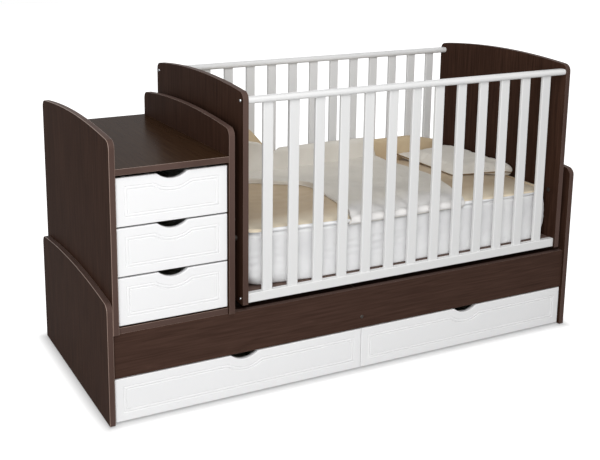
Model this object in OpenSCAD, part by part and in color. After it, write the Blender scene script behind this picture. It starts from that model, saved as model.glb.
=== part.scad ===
// Growing crib: a swinging cot hangs over a long base beside a three-drawer dresser.
// Two wide drawers run in the base. The front faces -Y, the dresser stands on the -X side.
// Origin: middle of the footprint, on the floor. Sizes are in millimetres.

/* [Boards] */
// Thickness of the laminated boards
board = 18; // [16:1:20]
// Depth of the end panels, from front edge to back edge
depth = 692; // [686:2:730]
// Radius of the top corners of the end panels
corner_r = 25; // [15:1:40]
// Rise of the crowned top edge of the end panels
crown = 20; // [12:1:30]
// Gap of every inside joint that must slip together
slip = 0.2; // [0.1:0.05:0.3]

/* [Base] */
// Height of the low end panel at its corners
low_end_h = 372; // [350:2:420]
// Height of the high end panel at its corners
high_end_h = 576; // [560:2:620]
// Height of the top edge of the base rails
rail_top = 279; // [270:1:290]
// Height of the front rail itself
rail_h = 134; // [125:1:140]
// Setback of the front rail and of all drawer fronts
front_inset = 9; // [4:1:14]
// Height of the nail-on floor glides
glide_h = 4; // [3:0.5:6]
// Radius of the floor glides
glide_r = 8; // [5:0.5:8]
// Distance of a glide from the edge of its panel
glide_inset = 45; // [30:5:90]
// Thickness of the deck boards over the wide drawers
deck_t = 16; // [12:1:18]
// How far the deck lies below the top of the rails
deck_drop = 14; // [8:1:20]
// Width and height of the deck cleats
cleat = 20; // [16:1:25]
// Height of the lower edge of the back board
back_board_z = 20; // [10:2:40]

/* [Dresser] */
// Width of the dresser over its side panels
dresser_w = 380; // [350:5:420]
// Height of the dresser sides at their corners
dresser_side_h = 563; // [540:1:600]
// Depth of the tray that the sides form above the top board
tray_depth = 79; // [60:1:100]
// Thickness of the hardboard back
hardboard = 3.2; // [3:0.2:4]
// Depth of the groove that holds the hardboard
groove = 8; // [5:1:9]
// Distance of the hardboard from the back edges
back_inset = 12; // [8:1:20]

/* [Drawers] */
// Thickness of the milled drawer fronts
front_t = 16; // [14:1:19]
// Gap beside each drawer front
side_gap = 2; // [1.5:0.5:3]
// Gap between stacked drawer fronts
stack_gap = 5; // [3:0.5:7]
// Gap above the top drawer front
top_gap = 10; // [6:1:12]
// Gap between the floor and the wide drawer fronts
floor_gap = 8; // [6:1:15]
// Gap between the wide drawer fronts and the front rail
rail_gap = 4; // [3:0.5:6]
// Chord of the finger scoop
scoop_w = 92; // [80:2:110]
// Depth of the finger scoop
scoop_d = 18; // [14:1:22]
// Rounding where the scoop meets the top edge
lip_r = 8; // [4:1:14]
// Distance of the routed frame from the edges of a front
rout_in = 25; // [20:1:30]
// Width of the routed frame
rout_w = 12; // [8:1:14]
// Depth of the routed frame
rout_depth = 1.5; // [1:0.25:3]
// Thickness of the drawer sides and backs
box_t = 12; // [10:1:16]
// Space between the scoop and the drawer sides
box_drop = 10; // [6:1:14]
// Depth of the dresser's drawer boxes
box_depth = 560; // [545:5:600]
// Space between the wide drawer boxes and the back board
wide_box_gap = 30; // [20:1:35]

/* [Drawer runners] */
// Length of the dresser's runners
runner_l = 550; // [400:50:550]
// How much shorter the wide drawers' runners are than their boxes
wide_runner_short = 10; // [5:5:60]
// Space for a runner on each side of a drawer box
runner_gap = 12.5; // [12:0.5:13]
// Thickness of the runner steel
steel_t = 1.2; // [1:0.1:1.5]
// Height of the cabinet channel
channel_h = 22; // [20:1:24]
// Width of the cabinet channel
channel_w = 9; // [8:0.5:9.5]
// Height of the channel above the lower edge of the drawer front
channel_rise = 6; // [4:1:8]
// Radius of the runner rollers
roller_r = 9; // [7:0.5:9.2]
// Width of the runner rollers
roller_w = 6; // [5:0.5:6]

/* [Cot] */
// Clear length between the cot's end panels
cot_inner = 1200; // [1196:2:1240]
// Setback of the cot from the front and back edges of the base
cot_setback = 7; // [4:1:12]
// Gap between the base rails and the cot at rest
cot_lift = 17; // [12:1:25]
// Height of the cot's end panels at their corners
cot_end_h = 646; // [620:2:680]
// Distance of the rails' centre line from the panel's edge
cot_rail_in = 18; // [17:1:20]
// Height of the top rails
top_rail_h = 20; // [18:1:24]
// Width of the top rails
top_rail_w = 32; // [26:1:34]
// Distance of the top rails' centre below the panel corners
top_rail_drop = 24.5; // [20:0.5:40]
// Height of the bottom rails
low_rail_h = 30; // [26:1:36]
// Thickness of the bottom rails
low_rail_t = 20; // [18:1:24]
// Height of the bottom rails above the lower edge of the end panels
low_rail_rise = 1; // [1:1:8]
// Width of a slat
slat_w = 34; // [28:1:38]
// Thickness of a slat
slat_t = 12; // [10:1:14]
// Number of slats on each side
slat_count = 13; // [12:1:15]
// Depth of the slat mortises
mortise = 10; // [6:1:12]
// Radius of the rail screws
screw_r = 3; // [2.5:0.5:3.5]
// Length of the rail screws
screw_l = 50; // [40:5:60]

/* [Mattress base] */
// Thickness of the mattress base board
bed_t = 16; // [12:1:18]
// Radius of the ventilation holes
vent_r = 15; // [10:1:20]
// Height of the cleats under the mattress base
bed_cleat_h = 13; // [8:1:13]

/* [Swing] */
// Gap between the dresser and the cot
swing_gap_l = 30; // [26:1:36]
// Gap between the cot and the high end panel
swing_gap_r = 24; // [23:1:32]
// Distance between the two pivots of a swing link
link_l = 60; // [50:1:70]
// Distance of the upper pivots below the corner of the high end panel
pivot_drop = 20; // [18:1:30]
// Distance of the pivots from the edge of the cot's end panels
pivot_in = 45; // [40:1:70]
// Radius of the pivot bolts
bolt_r = 4; // [3:0.5:4]
// Running clearance of a link on its bolt
bolt_fit = 0.06; // [0.03:0.01:0.09]
// Radius of a link's eyes
eye_r = 13; // [11:1:15]
// Thickness of a link at its eyes
eye_t = 6; // [5:0.5:8]
// Thickness of a link's bar
link_t = 4; // [3:0.5:5]
// Radius of the spacer bushes
bush_r = 8; // [7:0.5:9]
// Depth of a pivot bolt in its panel
bolt_seat = 14; // [10:1:15]

/* [Bedding] */
// Gap between the mattress and the cot's end panels
mattress_end_gap = 5; // [5:1:15]
// Gap between the mattress and the slats
mattress_side_gap = 17; // [16:1:24]
// Height of the mattress sides
mattress_h = 165; // [120:5:170]
// Rise of the mattress in its middle
mattress_crown = 12; // [6:1:20]
// Radius of the piping round the mattress
piping_r = 5.5; // [4:0.5:6]
// Height of the back bumper
bumper_h = 90; // [80:2:120]
// Thickness of the back bumper
bumper_t = 22; // [16:1:24]
// Rise of the bumper at the dresser's end
bumper_rise = 102; // [60:2:120]
// Drop of the bumper behind the pillow
bumper_drop = 30; // [10:2:40]
// Width of the pillow, along the crib
pillow_w = 224; // [200:2:240]
// Length of the pillow, across the crib
pillow_l = 412; // [360:4:420]
// Thickness of the pillow
pillow_t = 46; // [40:1:60]
// Thickness of the duvet
duvet_t = 12; // [8:1:14]

/* [Hidden] */
eps = 0.01;
still_gap = 0.3;
hole_fit = 0.1;
deck_clear = 1;
arc_n = 8;
crown_n = 24;

cot_l = cot_inner + 2 * board;
total_l = 2 * board + dresser_w + swing_gap_l + cot_l + swing_gap_r;
x_left = -total_l / 2;
x_right = total_l / 2;
x_in_left = x_left + board;
x_in_right = x_right - board;
x_dresser_end = x_in_left + dresser_w;
x_cot = x_dresser_end + swing_gap_l;
x_bed = x_cot + board;
x_bed_end = x_bed + cot_inner;
x_cot_end = x_bed_end + board;
x_bed_mid = (x_bed + x_bed_end) / 2;
y_front = -depth / 2;
y_back = depth / 2;

y_rail = y_front + front_inset;
rail_bottom = rail_top - rail_h;
deck_top = rail_top - deck_drop;
deck_bottom = deck_top - deck_t;
y_back_board = y_back - front_inset - board;
rail_screw_up = 37;
rail_screw_z = rail_bottom + rail_screw_up;
cap_r = 6;
cap_t = 1.2;

dresser_top_z = rail_top + dresser_side_h - tray_depth;
x_case = x_in_left + board;
x_case_end = x_dresser_end - board;
hardboard_y = y_back - back_inset - hardboard;
stack_bottom = rail_top + board + stack_gap;
stack_top = dresser_top_z - board - top_gap;
front_h = (stack_top - stack_bottom - 2 * stack_gap) / 3;
wide_front_h = rail_bottom - rail_gap - floor_gap;
scoop_r = (pow(scoop_w / 2, 2) + pow(scoop_d, 2)) / (2 * scoop_d);
box_rise = channel_rise + 4;
wide_box_depth = y_back_board - y_rail - front_t - wide_box_gap;
wide_runner_l = wide_box_depth - wide_runner_short;

cot_depth = depth - 2 * cot_setback;
cot_z = rail_top + cot_lift;
cot_corner_z = cot_z + cot_end_h;
y_cot_rail = cot_depth / 2 - cot_rail_in;
top_rail_z = cot_corner_z - top_rail_drop;
low_rail_z = cot_z + low_rail_rise + low_rail_h / 2;
low_rail_top = low_rail_z + low_rail_h / 2;
slat_bottom = low_rail_top - mortise + slip;
slat_top = top_rail_z - top_rail_h / 2 + mortise - slip;
slat_space = (cot_inner - slat_count * slat_w) / (slat_count + 1);
slat_round = 3;
rail_round = 3;
head_r = 4.5;
head_t = 2.5;

bed_top = low_rail_top;
bed_half = y_cot_rail - low_rail_t / 2 - deck_clear;
bed_cleat_w = 20;
bed_cleat_in = 30;
bed_cleat_l = 2 * (bed_half - bed_cleat_in);

pivot_y = cot_depth / 2 - pivot_in;
frame_pivot_z = high_end_h - pivot_drop;
cot_pivot_z = frame_pivot_z - link_l;
nut_r = 7;
nut_t = 5;
bolt_head_t = 3;

mattress_z = bed_top + still_gap;
mattress_round = 55;
mattress_corner = 22;
mattress_bulge = 5;
mattress_l = cot_inner - 2 * (mattress_end_gap + mattress_bulge);
mattress_w = 2 * (y_cot_rail - slat_t / 2 - mattress_side_gap - mattress_bulge);
mattress_top = mattress_z + mattress_h;
sheet_in = 10;
sheet_t = 2.5;
soft_gap = 0.6;

// Points of an arc about [cx, cy] from angle a0 to a1 in n steps
function arc(cx, cy, r, a0, a1, n) =
    [for (i = [0 : n]) let (a = a0 + (a1 - a0) * i / n) [cx + r * cos(a), cy + r * sin(a)]];

// Outline of a rectangle w by h with round corners, centred
function round_rect(w, h, r) = concat(
    arc(w / 2 - r, h / 2 - r, r, 0, 90, arc_n), arc(r - w / 2, h / 2 - r, r, 90, 180, arc_n),
    arc(r - w / 2, r - h / 2, r, 180, 270, arc_n), arc(w / 2 - r, r - h / 2, r, 270, 360, arc_n));

// Outline of an end panel: straight sides, round corners and one shallow arc across the top
function crowned(w, h) =
    let (big = (pow(w / 2, 2) + pow(crown, 2)) / (2 * crown),
         mid = h + crown - big,
         cx = w / 2 - corner_r,
         cy = mid + sqrt(pow(big - corner_r, 2) - pow(cx, 2)),
         tilt = atan2(cy - mid, cx))
    concat([[-w / 2, 0], [w / 2, 0]],
        arc(cx, cy, corner_r, 0, tilt, arc_n),
        arc(0, mid, big, tilt, 180 - tilt, crown_n),
        arc(-cx, cy, corner_r, 180 - tilt, 180, arc_n));

// Turns an outline drawn in Y and Z into a solid along X
module along_x(x0, x1) {
    translate([x0, 0, 0]) rotate([90, 0, 90]) linear_extrude(x1 - x0) children();
}

// Round bar along X
module rod_x(x0, x1, r, fn = 48) {
    translate([x0, 0, 0]) rotate([0, 90, 0]) cylinder(h = x1 - x0, r = r, $fn = fn);
}

// Block between two corners
module block(a, b) {
    translate(a) cube(b - a);
}

module end_panel(x0, z0, w, h) {
    translate([0, 0, z0]) along_x(x0, x0 + board) polygon(crowned(w, h));
}

// Base

module base_left_panel() {
    color("#3b2b25") end_panel(x_left, glide_h, depth, low_end_h - glide_h);
}

module base_right_panel() {
    color("#3b2b25") difference() {
        end_panel(x_in_right, glide_h, depth, high_end_h - glide_h);
        for (side = [-1, 1]) translate([0, side * pivot_y, frame_pivot_z])
            rod_x(x_in_right - eps, x_in_right + bolt_seat + hole_fit, bolt_r + hole_fit);
    }
}

module base_front_rail() {
    color("#45322c") difference() {
        block([x_in_left, y_rail, rail_bottom], [x_in_right, y_rail + board, rail_top]);
        translate([0, y_rail - eps, rail_screw_z]) rotate([-90, 0, 0])
            cylinder(h = board + 2 * eps, r = screw_r + hole_fit, $fn = 32);
    }
}

module base_back_board() {
    color("#45322c")
        block([x_in_left, y_back_board, back_board_z], [x_in_right, y_back_board + board, rail_top]);
}

module base_partition() {
    y0 = y_rail + board;
    color("#45322c") difference() {
        block([-board / 2, y0, glide_h], [board / 2, y_back_board, deck_bottom]);
        translate([0, y0 - eps, rail_screw_z]) rotate([-90, 0, 0])
            cylinder(h = screw_l - board + 1, r = screw_r + hole_fit, $fn = 32);
    }
}

module deck_board(x0, x1) {
    color("#45322c") block([x0, y_rail + board + deck_clear, deck_bottom],
        [x1, y_back_board - deck_clear, deck_top]);
}

module deck_left() { deck_board(x_in_left + deck_clear, -deck_clear / 2); }
module deck_right() { deck_board(deck_clear / 2, x_in_right - deck_clear); }

module deck_cleats() {
    color("#c9a77c")
        for (span = [[x_in_left, -board / 2], [board / 2, x_in_right]],
             y0 = [y_rail + board, y_back_board - cleat])
            block([span[0], y0, deck_bottom - cleat], [span[1], y0 + cleat, deck_bottom]);
}

module glide(x, y) {
    translate([x, y, 0]) cylinder(h = glide_h, r1 = glide_r - 2, r2 = glide_r, $fn = 40);
}

module floor_glides() {
    color("#2a2624") for (y = [-1, 1]) {
        for (x = [x_left + board / 2, x_right - board / 2]) glide(x, y * (depth / 2 - glide_inset));
        glide(0, y * (depth / 2 - glide_inset - board - front_inset));
    }
}

// Screw through the front rail into the partition, under a metal cover cap
module rail_screw() {
    color("#c8c8c8") {
        translate([0, y_rail + slip, rail_screw_z]) rotate([-90, 0, 0])
            cylinder(h = screw_l - slip, r = screw_r, $fn = 32);
        translate([0, y_rail - cap_t, rail_screw_z]) rotate([-90, 0, 0])
            cylinder(h = cap_t, r1 = cap_r - 1, r2 = cap_r, $fn = 32);
    }
}

// Dresser

module back_groove(x0, x1, z0, z1) {
    block([x0, hardboard_y - slip, z0], [x1, hardboard_y + hardboard + slip, z1]);
}

module dresser_left_side() {
    color("#3b2b25") difference() {
        end_panel(x_in_left, rail_top, depth, dresser_side_h);
        back_groove(x_case - groove, x_case + eps,
            rail_top + board - groove, dresser_top_z - board + groove);
    }
}

module dresser_right_side() {
    color("#3b2b25") difference() {
        end_panel(x_case_end, rail_top, depth, dresser_side_h);
        back_groove(x_case_end - eps, x_case_end + groove,
            rail_top + board - groove, dresser_top_z - board + groove);
        for (side = [-1, 1]) translate([0, side * pivot_y, frame_pivot_z])
            rod_x(x_dresser_end - bolt_seat - hole_fit, x_dresser_end + eps, bolt_r + hole_fit);
    }
}

module dresser_top() {
    z0 = dresser_top_z - board;
    color("#554a40") difference() {
        block([x_case, y_front, z0], [x_case_end, y_back, dresser_top_z]);
        back_groove(x_case - eps, x_case_end + eps, z0 - eps, z0 + groove);
    }
}

module dresser_bottom() {
    z1 = rail_top + board;
    color("#45322c") difference() {
        block([x_case, y_rail, rail_top], [x_case_end, y_back, z1]);
        back_groove(x_case - eps, x_case_end + eps, z1 - groove, z1 + eps);
    }
}

module dresser_back() {
    tongue = groove - slip;
    color("#d9d2c4")
        block([x_case - tongue, hardboard_y, rail_top + board - tongue],
            [x_case_end + tongue, hardboard_y + hardboard, dresser_top_z - board + tongue]);
}

// Drawers: x0 and x1 are the bay's walls, z0 is the lower edge of the front

function stack_z(n) = stack_bottom + (3 - n) * (front_h + stack_gap);

// Front outline in X and Z, drawn in by inset, with the scoop in its top edge: an arc about a
// point above the edge, which two smaller arcs lead into
module front_outline(x0, x1, h, inset) {
    mid = (x0 + x1) / 2;
    top = h - inset;
    low = scoop_r + inset;
    lip = lip_r + inset / 3;
    rise = low - scoop_d + lip;
    out = sqrt(pow(low + lip, 2) - pow(rise, 2));
    lean = atan2(rise, out);
    polygon(concat([[x0 + inset, inset], [x1 - inset, inset], [x1 - inset, top]],
        arc(mid + out, top - lip, lip, 90, 180 - lean, arc_n),
        arc(mid, top - lip + rise, low, -lean, lean - 180, crown_n),
        arc(mid - out, top - lip, lip, lean, 90, arc_n),
        [[x0 + inset, top]]));
}

module front_slab(y0, y1) {
    translate([0, y1, 0]) rotate([90, 0, 0]) linear_extrude(y1 - y0) children();
}

module drawer_front(x0, x1, z0, h) {
    color("#f1f2f2") translate([0, 0, z0]) difference() {
        front_slab(y_rail, y_rail + front_t) front_outline(x0, x1, h, 0);
        difference() {
            front_slab(y_rail - eps, y_rail + rout_depth) front_outline(x0, x1, h, rout_in);
            front_slab(y_rail - 1, y_rail + rout_depth + 1) front_outline(x0, x1, h, rout_in + rout_w);
        }
    }
}

module drawer_box(x0, x1, z0, h, d) {
    y0 = y_rail + front_t;
    low = z0 + box_rise + hardboard;
    high = z0 + h - scoop_d - box_drop;
    left = x0 + runner_gap;
    right = x1 - runner_gap;
    color("#e9e6e0") {
        block([left, y0, low], [left + box_t, y0 + d, high]);
        block([right - box_t, y0, low], [right, y0 + d, high]);
        block([left + box_t, y0 + d - box_t, low], [right - box_t, y0 + d, high]);
    }
}

module drawer_bottom(x0, x1, z0, d) {
    y0 = y_rail + front_t;
    color("#d9d2c4") block([x0 + runner_gap, y0, z0 + box_rise],
        [x1 - runner_gap, y0 + d, z0 + box_rise + hardboard]);
}

// Cross-section of the cabinet channel: web on the wall, lips at the bottom and top
module channel_section(w) {
    difference() {
        square([w, channel_h]);
        translate([steel_t, steel_t]) square([w, channel_h - 2 * steel_t]);
    }
}

// Cross-section of the drawer's profile, from the box side outwards
module carrier_section() {
    reach = runner_gap - 2;
    top = channel_h + channel_rise - box_rise + still_gap * 2 + steel_t;
    translate([0, -steel_t]) square([steel_t, top + steel_t]);
    translate([0, top - steel_t]) square([reach, steel_t]);
    translate([-box_t, -steel_t]) square([box_t + steel_t, steel_t]);
}

// Roller with its rivet, on an axis along X, pointing to +X from its web at x = 0
module roller(r) {
    rod_x(0, 2 + roller_w + 1, 2, 24);
    difference() {
        rod_x(2, 2 + roller_w, r, 60);
        rod_x(1, 3 + roller_w, 2 + bolt_fit, 24);
    }
}

// One cabinet channel on a wall at x = 0, running to +Y from y = 0, with its front roller
module channel(l) {
    cut = 2 * roller_r + 6;
    front_r = roller_r + 0.6;
    difference() {
        translate([0, l, 0]) rotate([90, 0, 0]) linear_extrude(l) channel_section(channel_w);
        block([steel_t, -1, channel_h - steel_t - 1], [channel_w + 1, cut, channel_h + 1]);
    }
    translate([steel_t - 0.8, cut / 2, channel_h + still_gap - front_r]) roller(front_r);
}

// One drawer profile on a box side at x = 0, reaching to +X, with its back roller
module carrier(l) {
    axle = channel_rise - box_rise + steel_t + still_gap + roller_r;
    translate([0, l, 0]) rotate([90, 0, 0]) linear_extrude(l) carrier_section();
    translate([steel_t, l - roller_r - 3, axle]) {
        rod_x(-0.4, runner_gap - steel_t - 2.5, 2, 24);
        difference() {
            rod_x(runner_gap - steel_t - 3 - roller_w, runner_gap - steel_t - 3, roller_r, 60);
            rod_x(0, runner_gap, 2 + bolt_fit, 24);
        }
    }
}

// Both channels of a bay whose walls are at x0 and x1
module channel_pair(x0, x1, z0, l) {
    color("#dcdcdc") translate([0, y_rail + front_t + 2, z0 + channel_rise]) {
        translate([x0, 0, 0]) channel(l);
        translate([x1, 0, 0]) mirror([1, 0, 0]) channel(l);
    }
}

// Both profiles of a drawer in that bay
module carrier_pair(x0, x1, z0, l) {
    color("#dcdcdc") translate([0, y_rail + front_t, z0 + box_rise]) {
        translate([x0 + runner_gap, 0, 0]) mirror([1, 0, 0]) carrier(l);
        translate([x1 - runner_gap, 0, 0]) carrier(l);
    }
}

module dresser_channels() {
    for (n = [1 : 3]) channel_pair(x_case, x_case_end, stack_z(n), runner_l);
}

module wide_channels() {
    channel_pair(x_in_left, -board / 2, floor_gap, wide_runner_l);
    channel_pair(board / 2, x_in_right, floor_gap, wide_runner_l);
}

module stack_front(n) { drawer_front(x_case + side_gap, x_case_end - side_gap, stack_z(n), front_h); }
module stack_box(n) { drawer_box(x_case, x_case_end, stack_z(n), front_h, box_depth); }
module stack_bottom_panel(n) { drawer_bottom(x_case, x_case_end, stack_z(n), box_depth); }
module stack_runners(n) { carrier_pair(x_case, x_case_end, stack_z(n), runner_l); }

// Walls of the wide drawers' two bays
wide_bay = [[x_in_left, -board / 2], [board / 2, x_in_right]];

module wide_front(n) {
    x0 = n == 1 ? x_in_left + side_gap + 1 : side_gap / 2;
    x1 = n == 1 ? -side_gap / 2 : x_in_right - side_gap - 1;
    drawer_front(x0, x1, floor_gap, wide_front_h);
}

module wide_box(n) {
    drawer_box(wide_bay[n - 1][0], wide_bay[n - 1][1], floor_gap, wide_front_h, wide_box_depth);
}

module wide_bottom(n) {
    drawer_bottom(wide_bay[n - 1][0], wide_bay[n - 1][1], floor_gap, wide_box_depth);
}

module wide_runners(n) {
    carrier_pair(wide_bay[n - 1][0], wide_bay[n - 1][1], floor_gap, wide_runner_l);
}

// Swing: four links hang between the frame's pivots and the cot's pivots

link_mid_l = x_dresser_end + swing_gap_l / 2;
link_mid_r = x_cot_end + swing_gap_r / 2;

module link(x, y) {
    color("#9aa0a4") translate([x, y, 0]) difference() {
        union() {
            for (z = [frame_pivot_z, cot_pivot_z]) translate([0, 0, z]) rod_x(-eye_t / 2, eye_t / 2, eye_r);
            block([-link_t / 2, -eye_r * 0.75, cot_pivot_z], [link_t / 2, eye_r * 0.75, frame_pivot_z]);
        }
        for (z = [frame_pivot_z, cot_pivot_z]) translate([0, 0, z])
            rod_x(-eye_t, eye_t, bolt_r + bolt_fit);
    }
}

module link_front_left() { link(link_mid_l, -pivot_y); }
module link_front_right() { link(link_mid_r, -pivot_y); }
module link_back_left() { link(link_mid_l, pivot_y); }
module link_back_right() { link(link_mid_r, pivot_y); }

// Bolt, spacer bush and nut on a wall at x = 0, holding a link whose middle is gap / 2 away.
// inside is how far the bolt runs behind the wall, head is the thickness of its head there.
module pivot_set(gap, inside, head) {
    reach = gap / 2 - eye_t / 2 - still_gap;
    nut_x = gap / 2 + eye_t / 2 + still_gap;
    union() {
        rod_x(-inside, nut_x + nut_t + 1, bolt_r);
        if (head > 0) rod_x(-inside - head, -inside, nut_r);
    }
    difference() {
        rod_x(0, reach, bush_r);
        rod_x(-1, reach + 1, bolt_r + hole_fit);
    }
    difference() {
        rod_x(nut_x, nut_x + nut_t, nut_r, 6);
        rod_x(nut_x - 1, nut_x + nut_t + 1, bolt_r + bolt_fit);
    }
}

module frame_pivots() {
    color("#b9bdc0") for (side = [-1, 1]) translate([0, side * pivot_y, frame_pivot_z]) {
        translate([x_dresser_end, 0, 0]) pivot_set(swing_gap_l, bolt_seat, 0);
        translate([x_in_right, 0, 0]) mirror([1, 0, 0]) pivot_set(swing_gap_r, bolt_seat, 0);
    }
}

module cot_pivots() {
    color("#b9bdc0") for (side = [-1, 1]) translate([0, side * pivot_y, cot_pivot_z]) {
        translate([x_cot, 0, 0]) mirror([1, 0, 0]) pivot_set(swing_gap_l, board, bolt_head_t);
        translate([x_cot_end, 0, 0]) pivot_set(swing_gap_r, board, bolt_head_t);
    }
}

// Cot

// Places of the screws that hold the four rails: [y, z]
rail_spots = [for (y = [-1, 1], z = [top_rail_z, low_rail_z]) [y * y_cot_rail, z]];

module cot_end(x0) {
    color("#3b2b25") difference() {
        end_panel(x0, cot_z, cot_depth, cot_end_h);
        for (spot = rail_spots) translate([0, spot[0], spot[1]])
            rod_x(x0 - 1, x0 + board + 1, screw_r + hole_fit, 32);
        for (side = [-1, 1]) translate([0, side * pivot_y, cot_pivot_z])
            rod_x(x0 - 1, x0 + board + 1, bolt_r + hole_fit);
    }
}

module cot_left_end() { cot_end(x_cot); }
module cot_right_end() { cot_end(x_bed_end); }

function slat_x(i) = x_bed + slat_space * (i + 1) + slat_w * (i + 0.5);

module slat_mortises(y, z0, z1) {
    for (i = [0 : slat_count - 1]) translate([slat_x(i), y, z0])
        linear_extrude(z1 - z0) polygon(round_rect(slat_w + 2 * slip, slat_t + 2 * slip, slat_round));
}

module rail_end_holes(y, z) {
    in = screw_l - board + 1;
    translate([0, y, z]) {
        rod_x(x_bed - 1, x_bed + in, screw_r + hole_fit, 32);
        rod_x(x_bed_end - in, x_bed_end + 1, screw_r + hole_fit, 32);
    }
}

module cot_top_rail(y) {
    color("#eceded") difference() {
        translate([0, y, top_rail_z]) along_x(x_bed, x_bed_end)
            polygon(round_rect(top_rail_w, top_rail_h, top_rail_h / 2 - 1));
        slat_mortises(y, top_rail_z - top_rail_h / 2 - 1, top_rail_z - top_rail_h / 2 + mortise);
        rail_end_holes(y, top_rail_z);
    }
}

module cot_low_rail(y) {
    color("#eceded") difference() {
        translate([0, y, low_rail_z]) along_x(x_bed, x_bed_end)
            polygon(round_rect(low_rail_t, low_rail_h, rail_round));
        slat_mortises(y, low_rail_top - mortise, low_rail_top + 1);
        rail_end_holes(y, low_rail_z);
    }
}

module cot_front_top_rail() { cot_top_rail(-y_cot_rail); }
module cot_back_top_rail() { cot_top_rail(y_cot_rail); }
module cot_front_low_rail() { cot_low_rail(-y_cot_rail); }
module cot_back_low_rail() { cot_low_rail(y_cot_rail); }

module cot_slats(y) {
    color("#e8e9e9") for (i = [0 : slat_count - 1]) translate([slat_x(i), y, slat_bottom])
        linear_extrude(slat_top - slat_bottom) polygon(round_rect(slat_w, slat_t, slat_round));
}

module cot_front_slats() { cot_slats(-y_cot_rail); }
module cot_back_slats() { cot_slats(y_cot_rail); }

module cot_screws() {
    color("#c8c8c8") for (spot = rail_spots) translate([0, spot[0], spot[1]]) {
        rod_x(x_cot - head_t, x_cot, head_r, 32);
        rod_x(x_cot - eps, x_cot + screw_l, screw_r, 32);
        rod_x(x_cot_end, x_cot_end + head_t, head_r, 32);
        rod_x(x_cot_end - screw_l, x_cot_end + eps, screw_r, 32);
    }
}

// Mattress base: one board on two cleats, level with the bottom rails

module mattress_base() {
    step_x = cot_inner / 10;
    step_y = bed_half / 2.5;
    color("#5d4a45") difference() {
        block([x_bed + deck_clear, -bed_half, bed_top - bed_t], [x_bed_end - deck_clear, bed_half, bed_top]);
        for (i = [1 : 9], j = [-2 : 2]) translate([x_bed + i * step_x, j * step_y, bed_top - bed_t - 1])
            cylinder(h = bed_t + 2, r = vent_r, $fn = 48);
    }
}

module mattress_cleats() {
    z1 = bed_top - bed_t;
    color("#c9a77c") for (x = [x_bed, x_bed_end - bed_cleat_w])
        block([x, -bed_cleat_l / 2, z1 - bed_cleat_h], [x + bed_cleat_w, bed_cleat_l / 2, z1]);
}

// Bedding: closed grids of points, one patch for the upper and one for the lower side

// Faces between rings of points, which follow each other along a skin
function skin_faces(rows, cols) = [for (i = [0 : rows - 2], j = [0 : cols - 1])
    let (k = (j + 1) % cols, a = i * cols, b = a + cols)
    each [[a + j, a + k, b + k], [a + j, b + k, b + j]]];

// Closed skin of rings whose first and last ring are nearly flat
function ring_faces(rows, cols) = concat(
    [for (f = skin_faces(rows, cols)) [f[2], f[1], f[0]]],
    [for (j = [1 : cols - 2]) [0, j, j + 1]],
    [for (j = [1 : cols - 2]) let (a = (rows - 1) * cols) [a, a + j + 1, a + j]]);

// Closed skin of a sheet: each ring runs over the upper side and back along the lower side
function sheet_faces(rows, cols) = concat(skin_faces(rows, cols),
    [for (j = [0 : cols / 2 - 2], a = [0, (rows - 1) * cols])
        let (quad = [a + j, a + cols - 1 - j, a + cols - 2 - j, a + j + 1])
        each a == 0 ? [[quad[0], quad[1], quad[2]], [quad[0], quad[2], quad[3]]]
            : [[quad[0], quad[2], quad[1]], [quad[0], quad[3], quad[2]]]]);

// Plan outline of the mattress grown by out: a rectangle with corners of radius r, at height z
function mattress_ring(out, z, r = mattress_round) =
    [for (p = round_rect(mattress_l + 2 * out, mattress_w + 2 * out, r)) [x_bed_mid + p[0], p[1], z]];

// Height of the mattress top over its side edge: a low dome, flat at the rim
function dome(x, y) =
    let (u = min(1, abs(x - x_bed_mid) * 2 / mattress_l), v = min(1, abs(y) * 2 / mattress_w))
    mattress_crown * (1 - pow(u, 4)) * (1 - pow(v, 2.5));

// Rings of the outline drawn in by shares of its own size, laid on the dome at height z
function dome_rings(out, z, shares) = [for (s = shares) [for (p = mattress_ring(out, z))
    let (x = x_bed_mid + (p[0] - x_bed_mid) * (1 - s), y = p[1] * (1 - s)) [x, y, z + dome(x, y)]]];

// Piping along both edges of a side that swells, and whose corners swell most
module mattress() {
    cord = [for (a = [-60, 0, 60, 120]) [piping_r * cos(a) - piping_r + 1, piping_r * sin(a)]];
    side = concat(
        [mattress_ring(-piping_r - 4, mattress_z)],
        [for (c = cord) mattress_ring(c[0], mattress_z + piping_r + c[1])],
        [for (t = [0.15 : 0.175 : 0.85]) mattress_ring(mattress_bulge * sin(180 * t),
            mattress_z + mattress_h * t,
            mattress_round - (mattress_round - mattress_corner) * pow(sin(180 * t), 0.6))],
        [for (c = cord) mattress_ring(c[0], mattress_top + c[1])]);
    rings = concat(side, dome_rings(1 - sheet_in, mattress_top, [0, 0.03, 0.12, 0.3, 0.55, 0.8]));
    color("#d8d9db") polyhedron([for (ring = rings) each ring], ring_faces(len(rings), len(rings[0])));
}

module fitted_sheet() {
    shares = [0.8, 0.55, 0.3, 0.12, 0.03, 0];
    rings = concat(dome_rings(-sheet_in, mattress_top + soft_gap, shares),
        dome_rings(-sheet_in, mattress_top + soft_gap + sheet_t, [for (k = [5 : -1 : 0]) shares[k]]));
    color("#9c8b6e") polyhedron([for (ring = rings) each ring], ring_faces(len(rings), len(rings[0])));
}

bumper_z = mattress_top + sheet_t + 2 * soft_gap + 1;
bumper_y1 = y_cot_rail - slat_t / 2 - still_gap;
bumper_y0 = bumper_y1 - bumper_t;
bumper_x0 = x_bed + 8;
bumper_x1 = x_bed_end - 8;
// Where the climb and the drop of the bumper start and how far they run, as shares of the cot
climb_at = 0.247;
climb_run = 0.108;
drop_at = 0.84;
drop_run = 0.158;

// Goes smoothly from 0 to 1 as t does
function ease(t) = let (s = max(0, min(1, t))) s * s * (3 - 2 * s);

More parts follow.
